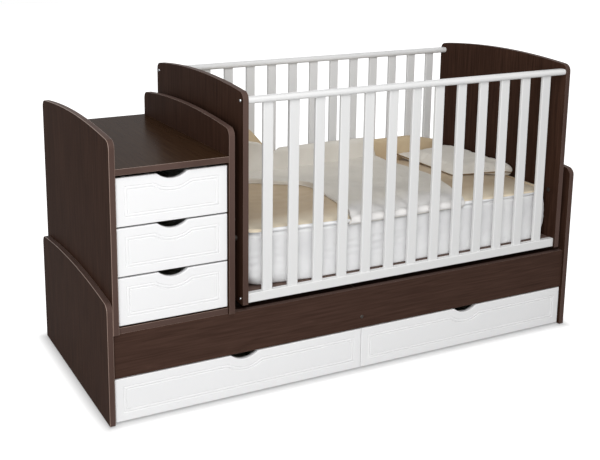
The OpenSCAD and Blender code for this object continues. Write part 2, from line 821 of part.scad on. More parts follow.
// Height of the bumper along X
function bumper_top(x) =
    let (t = (x - x_bed) / cot_inner)
    bumper_z + bumper_h + bumper_rise * (1 - ease((t - climb_at) / climb_run))
        - bumper_drop * ease((t - drop_at) / drop_run);

// Places of the bumper's rings along X, closest together where it climbs
bumper_x = let (a = x_bed + cot_inner * (climb_at - 0.01), b = a + cot_inner * (climb_run + 0.03))
    concat([for (i = [0 : 6]) bumper_x0 + (a - bumper_x0) * i / 7],
        [for (i = [0 : 13]) a + (b - a) * i / 14],
        [for (i = [0 : 19]) b + (bumper_x1 - b) * i / 19]);

module bumper() {
    n = len(bumper_x) - 1;
    section_n = 18;
    mid = (bumper_y0 + bumper_y1) / 2;
    rings = [for (i = [0 : n])
        let (x = bumper_x[i],
             half = bumper_t / 2 * (i == 0 || i == n ? 0.6 : 1), h = bumper_top(x) - bumper_z)
        [for (k = [0 : section_n - 1]) let (a = 360 * k / section_n, c = cos(a), s = sin(a))
            [x, mid + half * sign(c) * pow(abs(c), 0.7),
                bumper_z + h / 2 + h / 2 * sign(s) * pow(abs(s), 0.35)]]];
    color("#9c8b6e") polyhedron([for (ring = rings) each ring], ring_faces(len(rings), section_n));
}

pillow_x1 = x_bed_end - 5;
pillow_y1 = bumper_y0 - 2;
// How much further the pillow reaches to the front at the panel's end
pillow_skew = 84;
// Height of the pillow's seam over the bed, and how much the panel and the bumper lift it
pillow_seam = 4;
pillow_lift = 25;
pillow_corner_lift = 35;

// Height of the made bed over the mattress base
function over_bed(x, y) = mattress_top + soft_gap * 2 + sheet_t + dome(x, y);

module pillow() {
    nu = 20;
    nv = 24;
    function puff(u, v) = pow(max(0, (1 - pow(abs(u), 2.6)) * (1 - pow(abs(v), 2.6))), 0.55);
    function draw(u) = 1 - 0.05 * (1 - u * u);
    function spot(u, v, side) =
        let (long = pillow_l - pillow_skew * (1 - u) / 2,
             x = pillow_x1 - pillow_w / 2 + u * pillow_w / 2 * draw(v),
             y = pillow_y1 - long / 2 + v * long / 2 * draw(u),
             lift = pillow_seam + pillow_lift * pow((1 + u) / 2, 1.5)
                + pillow_corner_lift * (1 - u) / 2 * pow((1 + v) / 2, 3),
             bed = over_bed(x, y) - 0.3)
        [x, y, side > 0 ? bed + lift + 3 + (pillow_t - pillow_seam - 3) * puff(u, v)
            : bed + (lift - 2) * (1 - min(1, 1.6 * puff(u, v)))];
    rows = [for (i = [0 : nu]) let (u = -1 + 2 * i / nu)
        concat([for (j = [0 : nv]) spot(u, -1 + 2 * j / nv, 1)],
            [for (j = [nv : -1 : 0]) spot(u, -1 + 2 * j / nv, -1)])];
    color("#cdc6bb") polyhedron([for (row = rows) each row], sheet_faces(len(rows), len(rows[0])));
}

// The duvet is cut flat and then laid over a profile. w runs up the front edge of the mattress,
// round its piping, across the bed, up the face of the bumper and over its top.
duvet_clear = 2;
duvet_lift = 0.8;
edge_ease = 3.5;
edge_bend = piping_r + edge_ease;
wall_bend = 14;
top_bend = 5;
fold_gap = 1.1;
edge_run = 30;
duvet_front_y = duvet_t + duvet_clear + slat_t / 2 - y_cot_rail;
duvet_wall_y = bumper_y0 - soft_gap;
edge_y = duvet_front_y + edge_bend;
edge_z = mattress_top + soft_gap;
wall_y = duvet_wall_y - wall_bend;
function quarter(r) = r * PI / 2;

// Height of the duvet's lower side on the bed: it comes down from the piping in a smooth slope
function under_duvet(x, y) =
    let (bed = over_bed(x, y) + duvet_lift)
    bed + (edge_z + edge_bend - bed) * ease((edge_y + edge_run - y) / edge_run);

// Value of w where the duvet starts to bend over the top of the bumper
function turn_w(x) = wall_y + quarter(wall_bend)
    + bumper_top(x) + fold_gap - top_bend - under_duvet(x, wall_y) - wall_bend;

// Point of the profile at w, lifted off it by off, as [y, z]
function profile(x, w, off) =
    let (w1 = wall_y + quarter(wall_bend), w2 = turn_w(x), zt = bumper_top(x) + fold_gap)
    w < edge_y - quarter(edge_bend) ? [duvet_front_y - off, edge_z + w - edge_y + quarter(edge_bend)]
    : w < edge_y ? let (a = (edge_y - w) / edge_bend * 180 / PI)
        [edge_y - (edge_bend + off) * sin(a), edge_z + (edge_bend + off) * cos(a)]
    : w < wall_y ? [w, under_duvet(x, w) + off]
    : w < w1 ? let (a = (w - wall_y) / wall_bend * 180 / PI, r = wall_bend - off)
        [wall_y + r * sin(a), under_duvet(x, wall_y) + wall_bend - r * cos(a)]
    : w < w2 ? [duvet_wall_y - off, under_duvet(x, wall_y) + wall_bend + w - w1]
    : let (a = min(90, (w - w2) / top_bend * 180 / PI), r = top_bend + off)
        [duvet_wall_y + top_bend - r * cos(a) + max(0, w - w2 - quarter(top_bend)),
            zt - top_bend + r * sin(a)];

// Places of the front border: X and w as shares of half the mattress
duvet_front = [[-0.93, 0.8], [-0.75, 0.76], [-0.55, 0.69], [-0.44, 0.5], [-0.345, 0.37],
    [-0.29, 0.27], [-0.271, 0.1], [-0.278, -0.16], [-0.286, -0.355], [-0.295, -0.53],
    [-0.319, -0.805], [-0.354, -0.985], [-0.37, -1.036], [-0.378, -1.065], [-0.242, -1.065],
    [-0.107, -1.065],
    [0.029, -1.065], [0.164, -1.065], [0.283, -1.065], [0.371, -1.065], [0.402, -1.01],
    [0.446, -0.82], [0.464, -0.61], [0.478, -0.365], [0.498, -0.07], [0.514, 0.27],
    [0.5, 0.61], [0.483, 0.97]];
// Places of the back border: X as such a share, and w from where the bend over the bumper
// starts, as a share of the bumper's height
duvet_back = [[-0.93, -0.37], [-0.785, -0.43], [-0.615, -0.48], [-0.488, -0.49], [-0.403, -0.12],
    [-0.344, -0.03], [-0.29, 0.07], [-0.242, 0.18], [-0.198, 0.2], [-0.158, 0.2],
    [-0.11, 0.2], [-0.064, 0.2], [-0.036, 0.2], [-0.008, 0.2], [0.049, 0.2], [0.103, 0.2],
    [0.154, 0.2], [0.202, 0.2], [0.246, 0.2], [0.286, 0.2], [0.317, 0.2],
    [0.341, 0.2], [0.361, 0.2], [0.378, 0.2], [0.395, 0.2], [0.408, 0.19],
    [0.419, 0.18], [0.429, 0.17]];

module duvet() {
    nv = 20;
    nu = len(duvet_front);
    function along(f) = x_bed_mid + f * mattress_l / 2;
    function rim(i, j) = min(1, min(min(i, nu - 1 - i) / 1.5, min(j, nv - j) / 3) + 0.35);
    function at(i, j, off) =
        let (t = (1 - cos(180 * j / nv)) / 2, f = duvet_front[i], b = duvet_back[i],
             w0 = f[1] * mattress_w / 2, w1 = turn_w(along(b[0])) + b[1] * bumper_h,
             x = along(f[0] + (b[0] - f[0]) * t * (2 - t)),
             p = profile(x, w0 + (w1 - w0) * t, off))
        [x, p[0], p[1]];
    rows = [for (i = [0 : nu - 1]) concat(
        [for (j = [0 : nv]) at(i, j, duvet_t * rim(i, j))],
        [for (j = [nv : -1 : 0]) at(i, j, 0)])];
    color("#cbc4b8") polyhedron([for (row = rows) each row], sheet_faces(nu, len(rows[0])));
}

base_left_panel();
base_right_panel();
base_front_rail();
base_back_board();
base_partition();
deck_left();
deck_right();
deck_cleats();
floor_glides();
rail_screw();
dresser_left_side();
dresser_right_side();
dresser_top();
dresser_bottom();
dresser_back();
dresser_channels();
wide_channels();
stack_front(1);  // drawer_1_front
stack_box(1);  // drawer_1_box
stack_bottom_panel(1);  // drawer_1_bottom
stack_runners(1);  // drawer_1_runners
stack_front(2);  // drawer_2_front
stack_box(2);  // drawer_2_box
stack_bottom_panel(2);  // drawer_2_bottom
stack_runners(2);  // drawer_2_runners
stack_front(3);  // drawer_3_front
stack_box(3);  // drawer_3_box
stack_bottom_panel(3);  // drawer_3_bottom
stack_runners(3);  // drawer_3_runners
wide_front(1);  // wide_drawer_1_front
wide_box(1);  // wide_drawer_1_box
wide_bottom(1);  // wide_drawer_1_bottom
wide_runners(1);  // wide_drawer_1_runners
wide_front(2);  // wide_drawer_2_front
wide_box(2);  // wide_drawer_2_box
wide_bottom(2);  // wide_drawer_2_bottom
wide_runners(2);  // wide_drawer_2_runners
frame_pivots();
link_front_left();
link_front_right();
link_back_left();
link_back_right();
cot_pivots();
cot_left_end();
cot_right_end();
cot_front_top_rail();
cot_back_top_rail();
cot_front_low_rail();
cot_back_low_rail();
cot_front_slats();
cot_back_slats();
cot_screws();
mattress_base();
mattress_cleats();
mattress();
fitted_sheet();
bumper();
duvet();
pillow();
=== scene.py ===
# %% [markdown]
# A swinging crib with a dresser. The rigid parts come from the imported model, whose shapes are
# right as they are: they get eased edges and real finishes. The milled drawer fronts, the
# screws and all the bedding are made here as surfaces, in metres, in the frame of the model.

# %% Load the frame
import math

import bmesh
import bpy
import numpy as np
from mathutils import Matrix, Vector


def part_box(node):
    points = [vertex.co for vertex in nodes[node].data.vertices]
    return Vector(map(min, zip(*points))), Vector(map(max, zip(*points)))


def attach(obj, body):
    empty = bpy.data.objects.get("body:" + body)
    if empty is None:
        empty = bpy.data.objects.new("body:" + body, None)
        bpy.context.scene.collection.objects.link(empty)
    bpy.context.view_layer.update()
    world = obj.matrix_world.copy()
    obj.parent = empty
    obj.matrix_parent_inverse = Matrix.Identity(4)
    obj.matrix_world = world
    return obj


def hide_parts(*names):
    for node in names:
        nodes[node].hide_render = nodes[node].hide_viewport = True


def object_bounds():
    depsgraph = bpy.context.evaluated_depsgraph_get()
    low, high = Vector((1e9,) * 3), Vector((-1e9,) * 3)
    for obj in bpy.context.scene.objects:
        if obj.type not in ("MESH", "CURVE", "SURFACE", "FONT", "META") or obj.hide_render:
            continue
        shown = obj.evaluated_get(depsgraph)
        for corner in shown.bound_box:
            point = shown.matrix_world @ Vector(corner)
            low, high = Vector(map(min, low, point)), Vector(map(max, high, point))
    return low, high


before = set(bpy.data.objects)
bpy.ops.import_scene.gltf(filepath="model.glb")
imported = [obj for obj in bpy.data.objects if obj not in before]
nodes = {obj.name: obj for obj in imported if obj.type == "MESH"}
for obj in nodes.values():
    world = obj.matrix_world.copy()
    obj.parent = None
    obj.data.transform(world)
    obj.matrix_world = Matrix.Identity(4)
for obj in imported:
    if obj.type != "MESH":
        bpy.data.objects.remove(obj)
cad_bounds = [list(corner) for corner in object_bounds()]
MM = 0.001

# %% [markdown]
# The camera stands where the photographer stood: its place, turn and lens were solved from the
# edges of the boards. The photograph is cropped off centre, and the two shifts repeat that.

# %% Camera
CAMERA_PLACE = (-1.6204, -2.7627, 1.4248)
CAMERA_TURN = math.radians(-24.707)
CAMERA_PITCH = math.radians(-11.803)
CAMERA_ROLL = math.radians(-0.269)
IMAGE_WIDTH, IMAGE_HEIGHT = 600, 460
LENS_PIXELS = 960.32
CENTRE_PIXEL = (217.82, 121.41)

camera_data = bpy.data.cameras.new("camera")
camera_data.sensor_width = 36.0
camera_data.lens = LENS_PIXELS / IMAGE_WIDTH * camera_data.sensor_width
camera_data.shift_x = (IMAGE_WIDTH / 2 - CENTRE_PIXEL[0]) / IMAGE_WIDTH
camera_data.shift_y = (CENTRE_PIXEL[1] - IMAGE_HEIGHT / 2) / IMAGE_WIDTH
camera = bpy.data.objects.new("camera", camera_data)
bpy.context.scene.collection.objects.link(camera)

ahead = Vector((-math.sin(CAMERA_TURN) * math.cos(CAMERA_PITCH),
                math.cos(CAMERA_TURN) * math.cos(CAMERA_PITCH), math.sin(CAMERA_PITCH)))
level = Vector((math.cos(CAMERA_TURN), math.sin(CAMERA_TURN), 0))
above = level.cross(ahead)
right = level * math.cos(CAMERA_ROLL) + above * math.sin(CAMERA_ROLL)
up = above * math.cos(CAMERA_ROLL) - level * math.sin(CAMERA_ROLL)
turn = Matrix((right, up, -ahead)).transposed().to_4x4()
camera.matrix_world = Matrix.Translation(CAMERA_PLACE) @ turn
bpy.context.scene.camera = camera
print("lens", round(camera_data.lens, 2), "mm")

# %% [markdown]
# A finish is a small tree of nodes. One helper adds a node with its settings and links, one links
# what a tree works out to its shader, and one turns the colours, which are written as they look
# on a screen, into the linear values that the shader needs.

# %% Helpers for finishes
def linear(colour):
    """Linear red, green, blue and alpha of a screen colour such as 3b2b25."""
    parts = [int(colour[i:i + 2], 16) / 255 for i in (0, 2, 4)]
    return [c / 12.92 if c <= 0.04045 else ((c + 0.055) / 1.055) ** 2.4 for c in parts] + [1.0]


def add(tree, kind, settings=None, **sockets):
    """Adds a node. settings are its own properties; a socket takes a value or another output."""
    node = tree.nodes.new(kind)
    for name, value in (settings or {}).items():
        setattr(node, name, value)
    for name, value in sockets.items():
        key = int(name[1:]) if name[0] == "i" and name[1:].isdigit() else name.replace("_", " ")
        if isinstance(value, bpy.types.NodeSocket):
            tree.links.new(value, node.inputs[key])
        else:
            node.inputs[key].default_value = value
    return node


def start_finish(name, **sockets):
    """A new material with its shader's plain values set, as (material, tree, shader)."""
    material = bpy.data.materials.new(name)
    material.use_nodes = True
    tree = material.node_tree
    shader = tree.nodes["Principled BSDF"]
    for key, value in sockets.items():
        shader.inputs[key.replace("_", " ")].default_value = value
    print("finish:", name)
    return material, tree, shader


def drive(shader, **sockets):
    """Links the outputs of other nodes to the shader's sockets."""
    for key, value in sockets.items():
        shader.id_data.links.new(value, shader.inputs[key.replace("_", " ")])


def spots(tree, vector, size, detail=3.0, twist=0.0):
    """Noise whose features are about size metres across, as a value around one half."""
    return add(tree, "ShaderNodeTexNoise", Vector=vector, Scale=1 / size, Detail=detail,
               Distortion=twist).outputs["Fac"]


def stretched(tree, along, by):
    """Object coordinates squeezed along one axis, so that a pattern is drawn out that way."""
    scale = [1.0, 1.0, 1.0]
    scale[along] = 1 / by
    place = add(tree, "ShaderNodeTexCoord").outputs["Object"]
    return add(tree, "ShaderNodeMapping", Vector=place, Scale=scale).outputs["Vector"]


def spread(tree, value, low, high, to_low=0.0, to_high=1.0):
    """Maps the range low to high of a value onto another range."""
    return add(tree, "ShaderNodeMapRange", Value=value, From_Min=low, From_Max=high,
               To_Min=to_low, To_Max=to_high).outputs["Result"]


def mixed(tree, share, first, second):
    """A colour that goes from first to second as share goes from 0 to 1."""
    return add(tree, "ShaderNodeMix", {"data_type": "RGBA"}, i0=share, i6=first, i7=second).outputs[2]


def raised(tree, height, distance, strength):
    """The bump that a height, 0 to 1 over distance metres, gives."""
    return add(tree, "ShaderNodeBump", Height=height, Distance=distance,
               Strength=strength).outputs["Normal"]


# %% [markdown]
# The boards are chipboard under a melamine print of dark open-pored wood, satin and a little
# uneven. Their edges carry a paler, smoother brown band that is rounded over. The print's grain
# runs along one axis of each board, and the band shows wherever the surface faces away from the
# board's thickness. Between the two, on the rounded arris, a paler colour is painted as a
# highlight, and the specular level is raised there so that the arris shines.

# %% Dark laminated board
BOARD_DARK = "2f1e16"
BOARD_LIGHT = "463026"
BAND_DARK = "4b3a34"
BAND_LIGHT = "5c4a44"
# a painted highlight: the paler colour on the rounded arris
ARRIS_HIGHLIGHT_COLOUR = "8c7467"
GRAIN_WIDTH = 7 * MM
PORE_WIDTH = 2.2 * MM
PORE_DEPTH = 0.05 * MM
CLOUD_WIDTH = 160 * MM


def laminated_board(name, grain, thickness, dark=BOARD_DARK, light=BOARD_LIGHT, shine=0.03, coat=0.0):
    """Printed board with its grain along one axis and banded edges across the thickness axis."""
    material, tree, shader = start_finish(name, Roughness=0.45, IOR=1.5, Coat_Weight=coat,
                                          Coat_Roughness=0.25)
    figure = spots(tree, stretched(tree, grain, 22), GRAIN_WIDTH, detail=5, twist=0.6)
    cloud = spots(tree, stretched(tree, grain, 4), CLOUD_WIDTH)
    pores = spots(tree, stretched(tree, grain, 30), PORE_WIDTH, detail=2)
    wood = mixed(tree, spread(tree, figure, 0.3, 0.7), linear(dark), linear(light))
    wood = mixed(tree, spread(tree, cloud, 0.3, 0.75, 0.0, 0.35), wood, linear(dark))
    facing = add(tree, "ShaderNodeTexCoord").outputs["Normal"]
    faces = add(tree, "ShaderNodeSeparateXYZ", Vector=facing).outputs[thickness]
    size = add(tree, "ShaderNodeMath", {"operation": "ABSOLUTE"}, i0=faces).outputs[0]
    edge = spread(tree, size, 0.75, 0.85, 1.0, 0.0)
    band = mixed(tree, spread(tree, cloud, 0.3, 0.7), linear(BAND_DARK), linear(BAND_LIGHT))
    # The rounded arris between face and band: there a paler colour is painted as a highlight, and the
    # specular level rises.
    arris_highlight = add(tree, "ShaderNodeMath", {"operation": "MINIMUM"}, i0=spread(tree, size, 0.06, 0.25),
                i1=spread(tree, size, 0.88, 0.985, 1.0, 0.0)).outputs[0]
    drive(shader, Base_Color=mixed(tree, arris_highlight, mixed(tree, edge, wood, band), linear(ARRIS_HIGHLIGHT_COLOUR)),
          Specular_IOR_Level=spread(tree, arris_highlight, 0, 1, shine, 1.0),
          Normal=raised(tree, spread(tree, pores, 0.35, 0.5), PORE_DEPTH, 0.5))
    return material


X, Y, Z = 0, 1, 2
upright_board = laminated_board("melamine board upright grain", Z, X)
rail_board = laminated_board("melamine board lengthwise grain", X, Y, "3b2a23", "4b372f")
deck_board = laminated_board("melamine board deck", X, Z)
top_board = laminated_board("melamine board top", Y, Z, "2f1d11", "3d2b1d", shine=0.0, coat=0.19)
bed_board = laminated_board("melamine board mattress base", X, Z, "5c4b43", "73605a")

# %% [markdown]
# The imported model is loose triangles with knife-sharp corners. Real boards and rails have eased
# arrises that catch the light, so each node gets four modifiers: Weld joins its triangles,
# Decimate melts flat ones into whole faces, Bevel rounds what is left, and Weighted Normal
# shades the large faces flat and the small round ones between them smoothly.

# %% Ease the edges of the rigid nodes
MERGE_DISTANCE = 0.01 * MM
FLAT_ANGLE = math.radians(0.05)
SHARP_ANGLE = math.radians(31)
UPRIGHT_ARRIS = 1.6
BOARD_ARRIS = 0.8


def finish_node(name, material, ease):
    """Gives a node its material and rounds its corners by ease millimetres."""
    piece = nodes[name]
    piece.data.materials.clear()
    piece.data.materials.append(material)
    piece.data.polygons.foreach_set("use_smooth", [True] * len(piece.data.polygons))
    weld = piece.modifiers.new("weld", "WELD")
    weld.merge_threshold = MERGE_DISTANCE
    flat = piece.modifiers.new("flat", "DECIMATE")
    flat.decimate_type = "DISSOLVE"
    flat.angle_limit = FLAT_ANGLE
    bevel = piece.modifiers.new("ease", "BEVEL")
    bevel.width = ease * MM
    bevel.segments = 2
    bevel.limit_method = "ANGLE"
    bevel.angle_limit = SHARP_ANGLE
    even = piece.modifiers.new("even", "WEIGHTED_NORMAL")
    even.weight = 100


BOARDS = {
    upright_board: ["base_left_panel", "base_right_panel", "base_partition", "dresser_left_side",
                    "dresser_right_side", "cot_left_end", "cot_right_end"],
    rail_board: ["base_front_rail", "base_back_board"],
    deck_board: ["deck_left", "deck_right", "dresser_bottom"],
    top_board: ["dresser_top"],
    bed_board: ["mattress_base"],
}
for board_material, names in BOARDS.items():
    for name in names:
        finish_node(name, board_material, UPRIGHT_ARRIS if board_material is upright_board else BOARD_ARRIS)
print("boards:", sum(len(names) for names in BOARDS.values()))

# %% [markdown]
# Rails and slats are planed hardwood under white lacquer, which fills the pores but leaves a
# trace of the grain. The drawer boxes are plain white laminated board, the drawer bottoms and
# the dresser's back are hardboard, and the cleats are bare softwood.

# %% White lacquer, drawer board, hardboard and softwood
def lacquered_wood(name, grain):
    """White lacquer over hardwood: nearly even, with long shallow grain."""
    material, tree, shader = start_finish(name, Roughness=0.34, IOR=1.5, Coat_Weight=0.15)
    cloud = spots(tree, stretched(tree, grain, 6), 50 * MM)
    lines = spots(tree, stretched(tree, grain, 25), 3 * MM, detail=2)
    drive(shader, Base_Color=mixed(tree, cloud, linear("dddddd"), linear("e5e5e4")),
          Normal=raised(tree, lines, 0.08 * MM, 0.4))
    return material


def sheet_material(name, dark, light, size, along=X, by=1, gloss=0.5, bump=0.05):
    """An even finish whose colour and surface, raised by bump mm, vary a little over size metres."""
    material, tree, shader = start_finish(name, Roughness=gloss, IOR=1.5)
    figure = spots(tree, stretched(tree, along, by), size, detail=4)
    drive(shader, Base_Color=mixed(tree, spread(tree, figure, 0.3, 0.7), linear(dark), linear(light)),
          Normal=raised(tree, figure, bump * MM, 0.5))
    return material


upright_lacquer = lacquered_wood("white lacquered beech upright", Z)
long_lacquer = lacquered_wood("white lacquered beech lengthwise", X)
box_board = sheet_material("white laminated chipboard", "e4e2de", "edebe8", 30 * MM, gloss=0.45)
hardboard = sheet_material("painted hardboard", "d0c9bc", "dcd6ca", 6 * MM, gloss=0.6, bump=0.1)
softwood = sheet_material("planed softwood", "b9925f", "d3b07e", 4 * MM, X, 25, gloss=0.55, bump=0.12)

for side in ("front", "back"):
    finish_node(f"cot_{side}_slats", upright_lacquer, 0.6)
    finish_node(f"cot_{side}_top_rail", long_lacquer, 0.8)
    finish_node(f"cot_{side}_low_rail", long_lacquer, 0.8)
DRAWERS = ["drawer_1", "drawer_2", "drawer_3", "wide_drawer_1", "wide_drawer_2"]
for drawer in DRAWERS:
    finish_node(f"{drawer}_box", box_board, 0.4)
    finish_node(f"{drawer}_bottom", hardboard, 0.2)
finish_node("dresser_back", hardboard, 0.2)
finish_node("deck_cleats", softwood, 0.8)
finish_node("mattress_cleats", softwood, 0.8)

# %% [markdown]
# The runners are rolled steel under white epoxy. The pivot bolts and the rail's screw are
# blackened, the small screws are bright zinc, the swing links a duller zinc, and the glides
# under the panels are moulded plastic.

# %% Metal and plastic
def metal(name, dark, light, gloss):
    """Plated steel: clouded colour and a fine brushed grain in the roughness."""
    material, tree, shader = start_finish(name, Metallic=1.0)
    cloud = spots(tree, stretched(tree, X, 3), 20 * MM)
    drive(shader, Base_Color=mixed(tree, cloud, linear(dark), linear(light)),
          Roughness=spread(tree, cloud, 0.3, 0.7, gloss - 0.07, gloss + 0.07))
    return material


bright_zinc = metal("bright zinc plated steel", "b4b7ba", "d3d5d7", 0.28)
dull_zinc = metal("passivated zinc plated steel", "8b9094", "a9adb0", 0.4)
dark_steel = metal("blackened steel", "4a4642", "645f5a", 0.5)
runner_epoxy = sheet_material("white epoxy coated steel", "d9d9d8", "e3e3e2", 4 * MM, gloss=0.3)
glide_plastic = sheet_material("moulded polyethylene", "24211f", "302c2a", 2 * MM, gloss=0.55)

for name in ("dresser_channels", "wide_channels", *(f"{drawer}_runners" for drawer in DRAWERS)):
    finish_node(name, runner_epoxy, 0.2)
for name in ("link_front_left", "link_front_right", "link_back_left", "link_back_right"):
    finish_node(name, dull_zinc, 0.6)
for name in ("frame_pivots", "cot_pivots", "rail_screw"):
    finish_node(name, dark_steel, 0.4)
finish_node("floor_glides", glide_plastic, 0.5)

# %% [markdown]
# New pieces are grids of points. A grid may wrap round in either direction, and a closed form
# such as a pillow has its two sides meet at a shared rim, where doubled points are merged. Each
# point carries its place on the flat cloth as a texture coordinate in metres.

# %% Meshes from grids of points
SLIVER = 0.001 * MM


def grid_faces(rows, cols, wrap_rows=False, wrap_cols=False):
    """Four-sided faces between the neighbours of a grid of rows by cols points."""
    i = np.arange(rows if wrap_rows else rows - 1)[:, None]
    j = np.arange(cols if wrap_cols else cols - 1)[None, :]
    right_i, right_j = (i + 1) % rows, (j + 1) % cols
    corners = [i * cols + j, i * cols + right_j, right_i * cols + right_j, right_i * cols + j]
    return np.stack([np.broadcast_to(c, (len(i), j.shape[1])).ravel() for c in corners], 1)


def capped_faces(rows, cols):
    """Faces of a tube of rows rings with cols points each, and a cap on each of its ends."""
    caps = [list(range(cols)), list(range((rows - 1) * cols, rows * cols))]
    return grid_faces(rows, cols, wrap_cols=True).tolist() + caps


def straight(start, stop, count=24):
    """Evenly spaced points from start up to, but not at, stop."""
    return np.linspace(start, stop, count, endpoint=False)


def arc(x, y, radius, angles):
    """Points on a circle about x, y at the given angles."""
    return np.stack([x + radius * np.cos(angles), y + radius * np.sin(angles)], 1)


def run_along(path):
    """Distance run along a path, for each of its points."""
    return np.concatenate([[0], np.cumsum(np.linalg.norm(np.diff(path, axis=0), axis=1))])


def make_piece(name, points, faces, material, body, flat=None, merge=True, sharp=180):
    """A mesh object from points and faces. flat holds each point's texture coordinate."""
    points = np.asarray(points, float).reshape(-1, 3)
    mesh = bpy.data.meshes.new(name)
    mesh.from_pydata(points.tolist(), [], [list(face) for face in faces])
    if flat is not None:
        layer = mesh.uv_layers.new(name="flat")
        index = np.zeros(len(mesh.loops), int)
        mesh.loops.foreach_get("vertex_index", index)
        layer.data.foreach_set("uv", np.asarray(flat, float).reshape(-1, 2)[index].ravel())
    work = bmesh.new()
    work.from_mesh(mesh)
    if merge:
        bmesh.ops.remove_doubles(work, verts=work.verts, dist=MERGE_DISTANCE)
    bmesh.ops.dissolve_degenerate(work, edges=work.edges, dist=SLIVER)
    bmesh.ops.recalc_face_normals(work, faces=work.faces)
    work.to_mesh(mesh)
    work.free()
    mesh.shade_smooth()
    if sharp < 180:
        mesh.set_sharp_from_angle(angle=math.radians(sharp))
    mesh.materials.append(material)
    piece = bpy.data.objects.new(name, mesh)
    bpy.context.scene.collection.objects.link(piece)
    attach(piece, body)
    print(f"{name}: {len(mesh.vertices)} points, {len(mesh.polygons)} faces")
    return piece


# %% [markdown]
# A drawer front is milled from fibreboard and wrapped in smooth white film: a shallow routed
# frame follows the outline at an even distance, under the finger scoop too. So the whole face is
# a stack of rings, each the outline drawn in by some distance and sunk by some depth, and the
# profile of the cutter is a short list of such pairs: two cut lines and a shallow band between.
# A ring close beside each flat keeps its smooth shading flat.

# %% Film on milled fibreboard
def film_white():
    """Vacuum-pressed film: smooth white with a hint of orange peel."""
    material, tree, shader = start_finish("white film on fibreboard", Roughness=0.55, IOR=1.45)
    place = add(tree, "ShaderNodeTexCoord").outputs["Object"]
    cloud = spots(tree, place, 250 * MM)
    peel = spots(tree, place, 4 * MM, detail=1)
    drive(shader, Base_Color=mixed(tree, cloud, linear("eaeaeb"), linear("efefef")),
          Normal=raised(tree, peel, 0.04 * MM, 0.5))
    return material


front_film = film_white()

# %% Milled drawer fronts
FRONT_THICK = 16 * MM
SCOOP_CHORD = 92 * MM
SCOOP_DEPTH = 18 * MM
LIP_RADIUS = 8 * MM
EDGE_RADIUS = 2.5 * MM
BACK_ARRIS = 0.6 * MM
ROUT_START = 25 * MM
ROUT_END = 37 * MM
LINE_WIDTH = 3.2 * MM
LINE_DEPTH = 2.0 * MM
FIELD_DEPTH = 0.3 * MM
SUPPORT = 0.4 * MM
SCOOP_RADIUS = ((SCOOP_CHORD / 2) ** 2 + SCOOP_DEPTH ** 2) / (2 * SCOOP_DEPTH)


def front_ring(width, height, inset):
    """Outline of a front drawn in by inset: straight sides, and a scoop arc between two lip arcs."""
    low = SCOOP_RADIUS + inset
    lip = LIP_RADIUS + inset / 3
    rise = low - SCOOP_DEPTH + lip
    out = math.sqrt((low + lip) ** 2 - rise ** 2)
    lean = math.atan2(rise, out)
    top, half = height - inset, width / 2 - inset
    return np.concatenate([
        straight((-half, inset), (half, inset)),
        straight((half, inset), (half, top)),
        straight((half, top), (out, top)),
        arc(out, top - lip, lip, np.linspace(math.pi / 2, math.pi - lean, 13)[:-1]),
        arc(0, top - lip + rise, low, np.linspace(-lean, lean - math.pi, 33)[:-1]),
        arc(-out, top - lip, lip, np.linspace(lean, math.pi / 2, 13)),
        straight((-out, top), (-half, top))[1:],
        straight((-half, top), (-half, inset))])


def cutter_profile():
    """Pairs of inset and depth, from the back of a front round its edge to the routed field."""
    pairs = [(BACK_ARRIS, FRONT_THICK), (0.0, FRONT_THICK - BACK_ARRIS)]
    pairs += [(EDGE_RADIUS * (1 - math.cos(a)), EDGE_RADIUS * (1 - math.sin(a)))
              for a in np.linspace(0, math.pi / 2, 6)]
    pairs += [(EDGE_RADIUS + SUPPORT, 0.0), (ROUT_START - SUPPORT, 0.0)]
    share = np.linspace(0, 1, 9)
    cut = LINE_DEPTH * (1 - np.cos(2 * math.pi * share)) / 2
    cut = cut + FIELD_DEPTH * (1 - np.cos(math.pi * share)) / 2
    pairs += [(ROUT_START + LINE_WIDTH * s, c) for s, c in zip(share, cut)]
    pairs += [(ROUT_END - LINE_WIDTH * s, c) for s, c in zip(share[::-1], cut[::-1])]
    return pairs + [(ROUT_END + SUPPORT, 0.0)]


def milled_front(drawer):
    """A drawer front of rings in the place of the plain one, its face at the same depth."""
    low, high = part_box(f"{drawer}_front")
    width, height = high.x - low.x, high.z - low.z
    rings = []
    for inset, depth in cutter_profile():
        ring = front_ring(width, height, inset)
        rings.append(np.stack([(low.x + high.x) / 2 + ring[:, 0], np.full(len(ring), low.y + depth),
                               low.z + ring[:, 1]], 1))
    piece = make_piece(f"{drawer}_milled_front", np.concatenate(rings),
                       capped_faces(len(rings), len(rings[0])), front_film, drawer, merge=False, sharp=50)
    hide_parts(f"{drawer}_front")


for drawer in DRAWERS:
    milled_front(drawer)

# %% [markdown]
# The rail screws have domed heads with a hexagon socket, turned on a lathe: a profile carried
# round the axis. The socket's wall follows a hexagon, so that the radius there depends on the
# angle.

# %% Socket-head rail screws
HEAD_RADIUS = 4.5 * MM
HEAD_HEIGHT = 2.5 * MM
SOCKET_RADIUS = 2.2 * MM
SCREW_RADIUS = 3 * MM
SCREW_LENGTH = 50 * MM
TIP_LENGTH = 4 * MM
TIP_RADIUS = 0.4 * MM


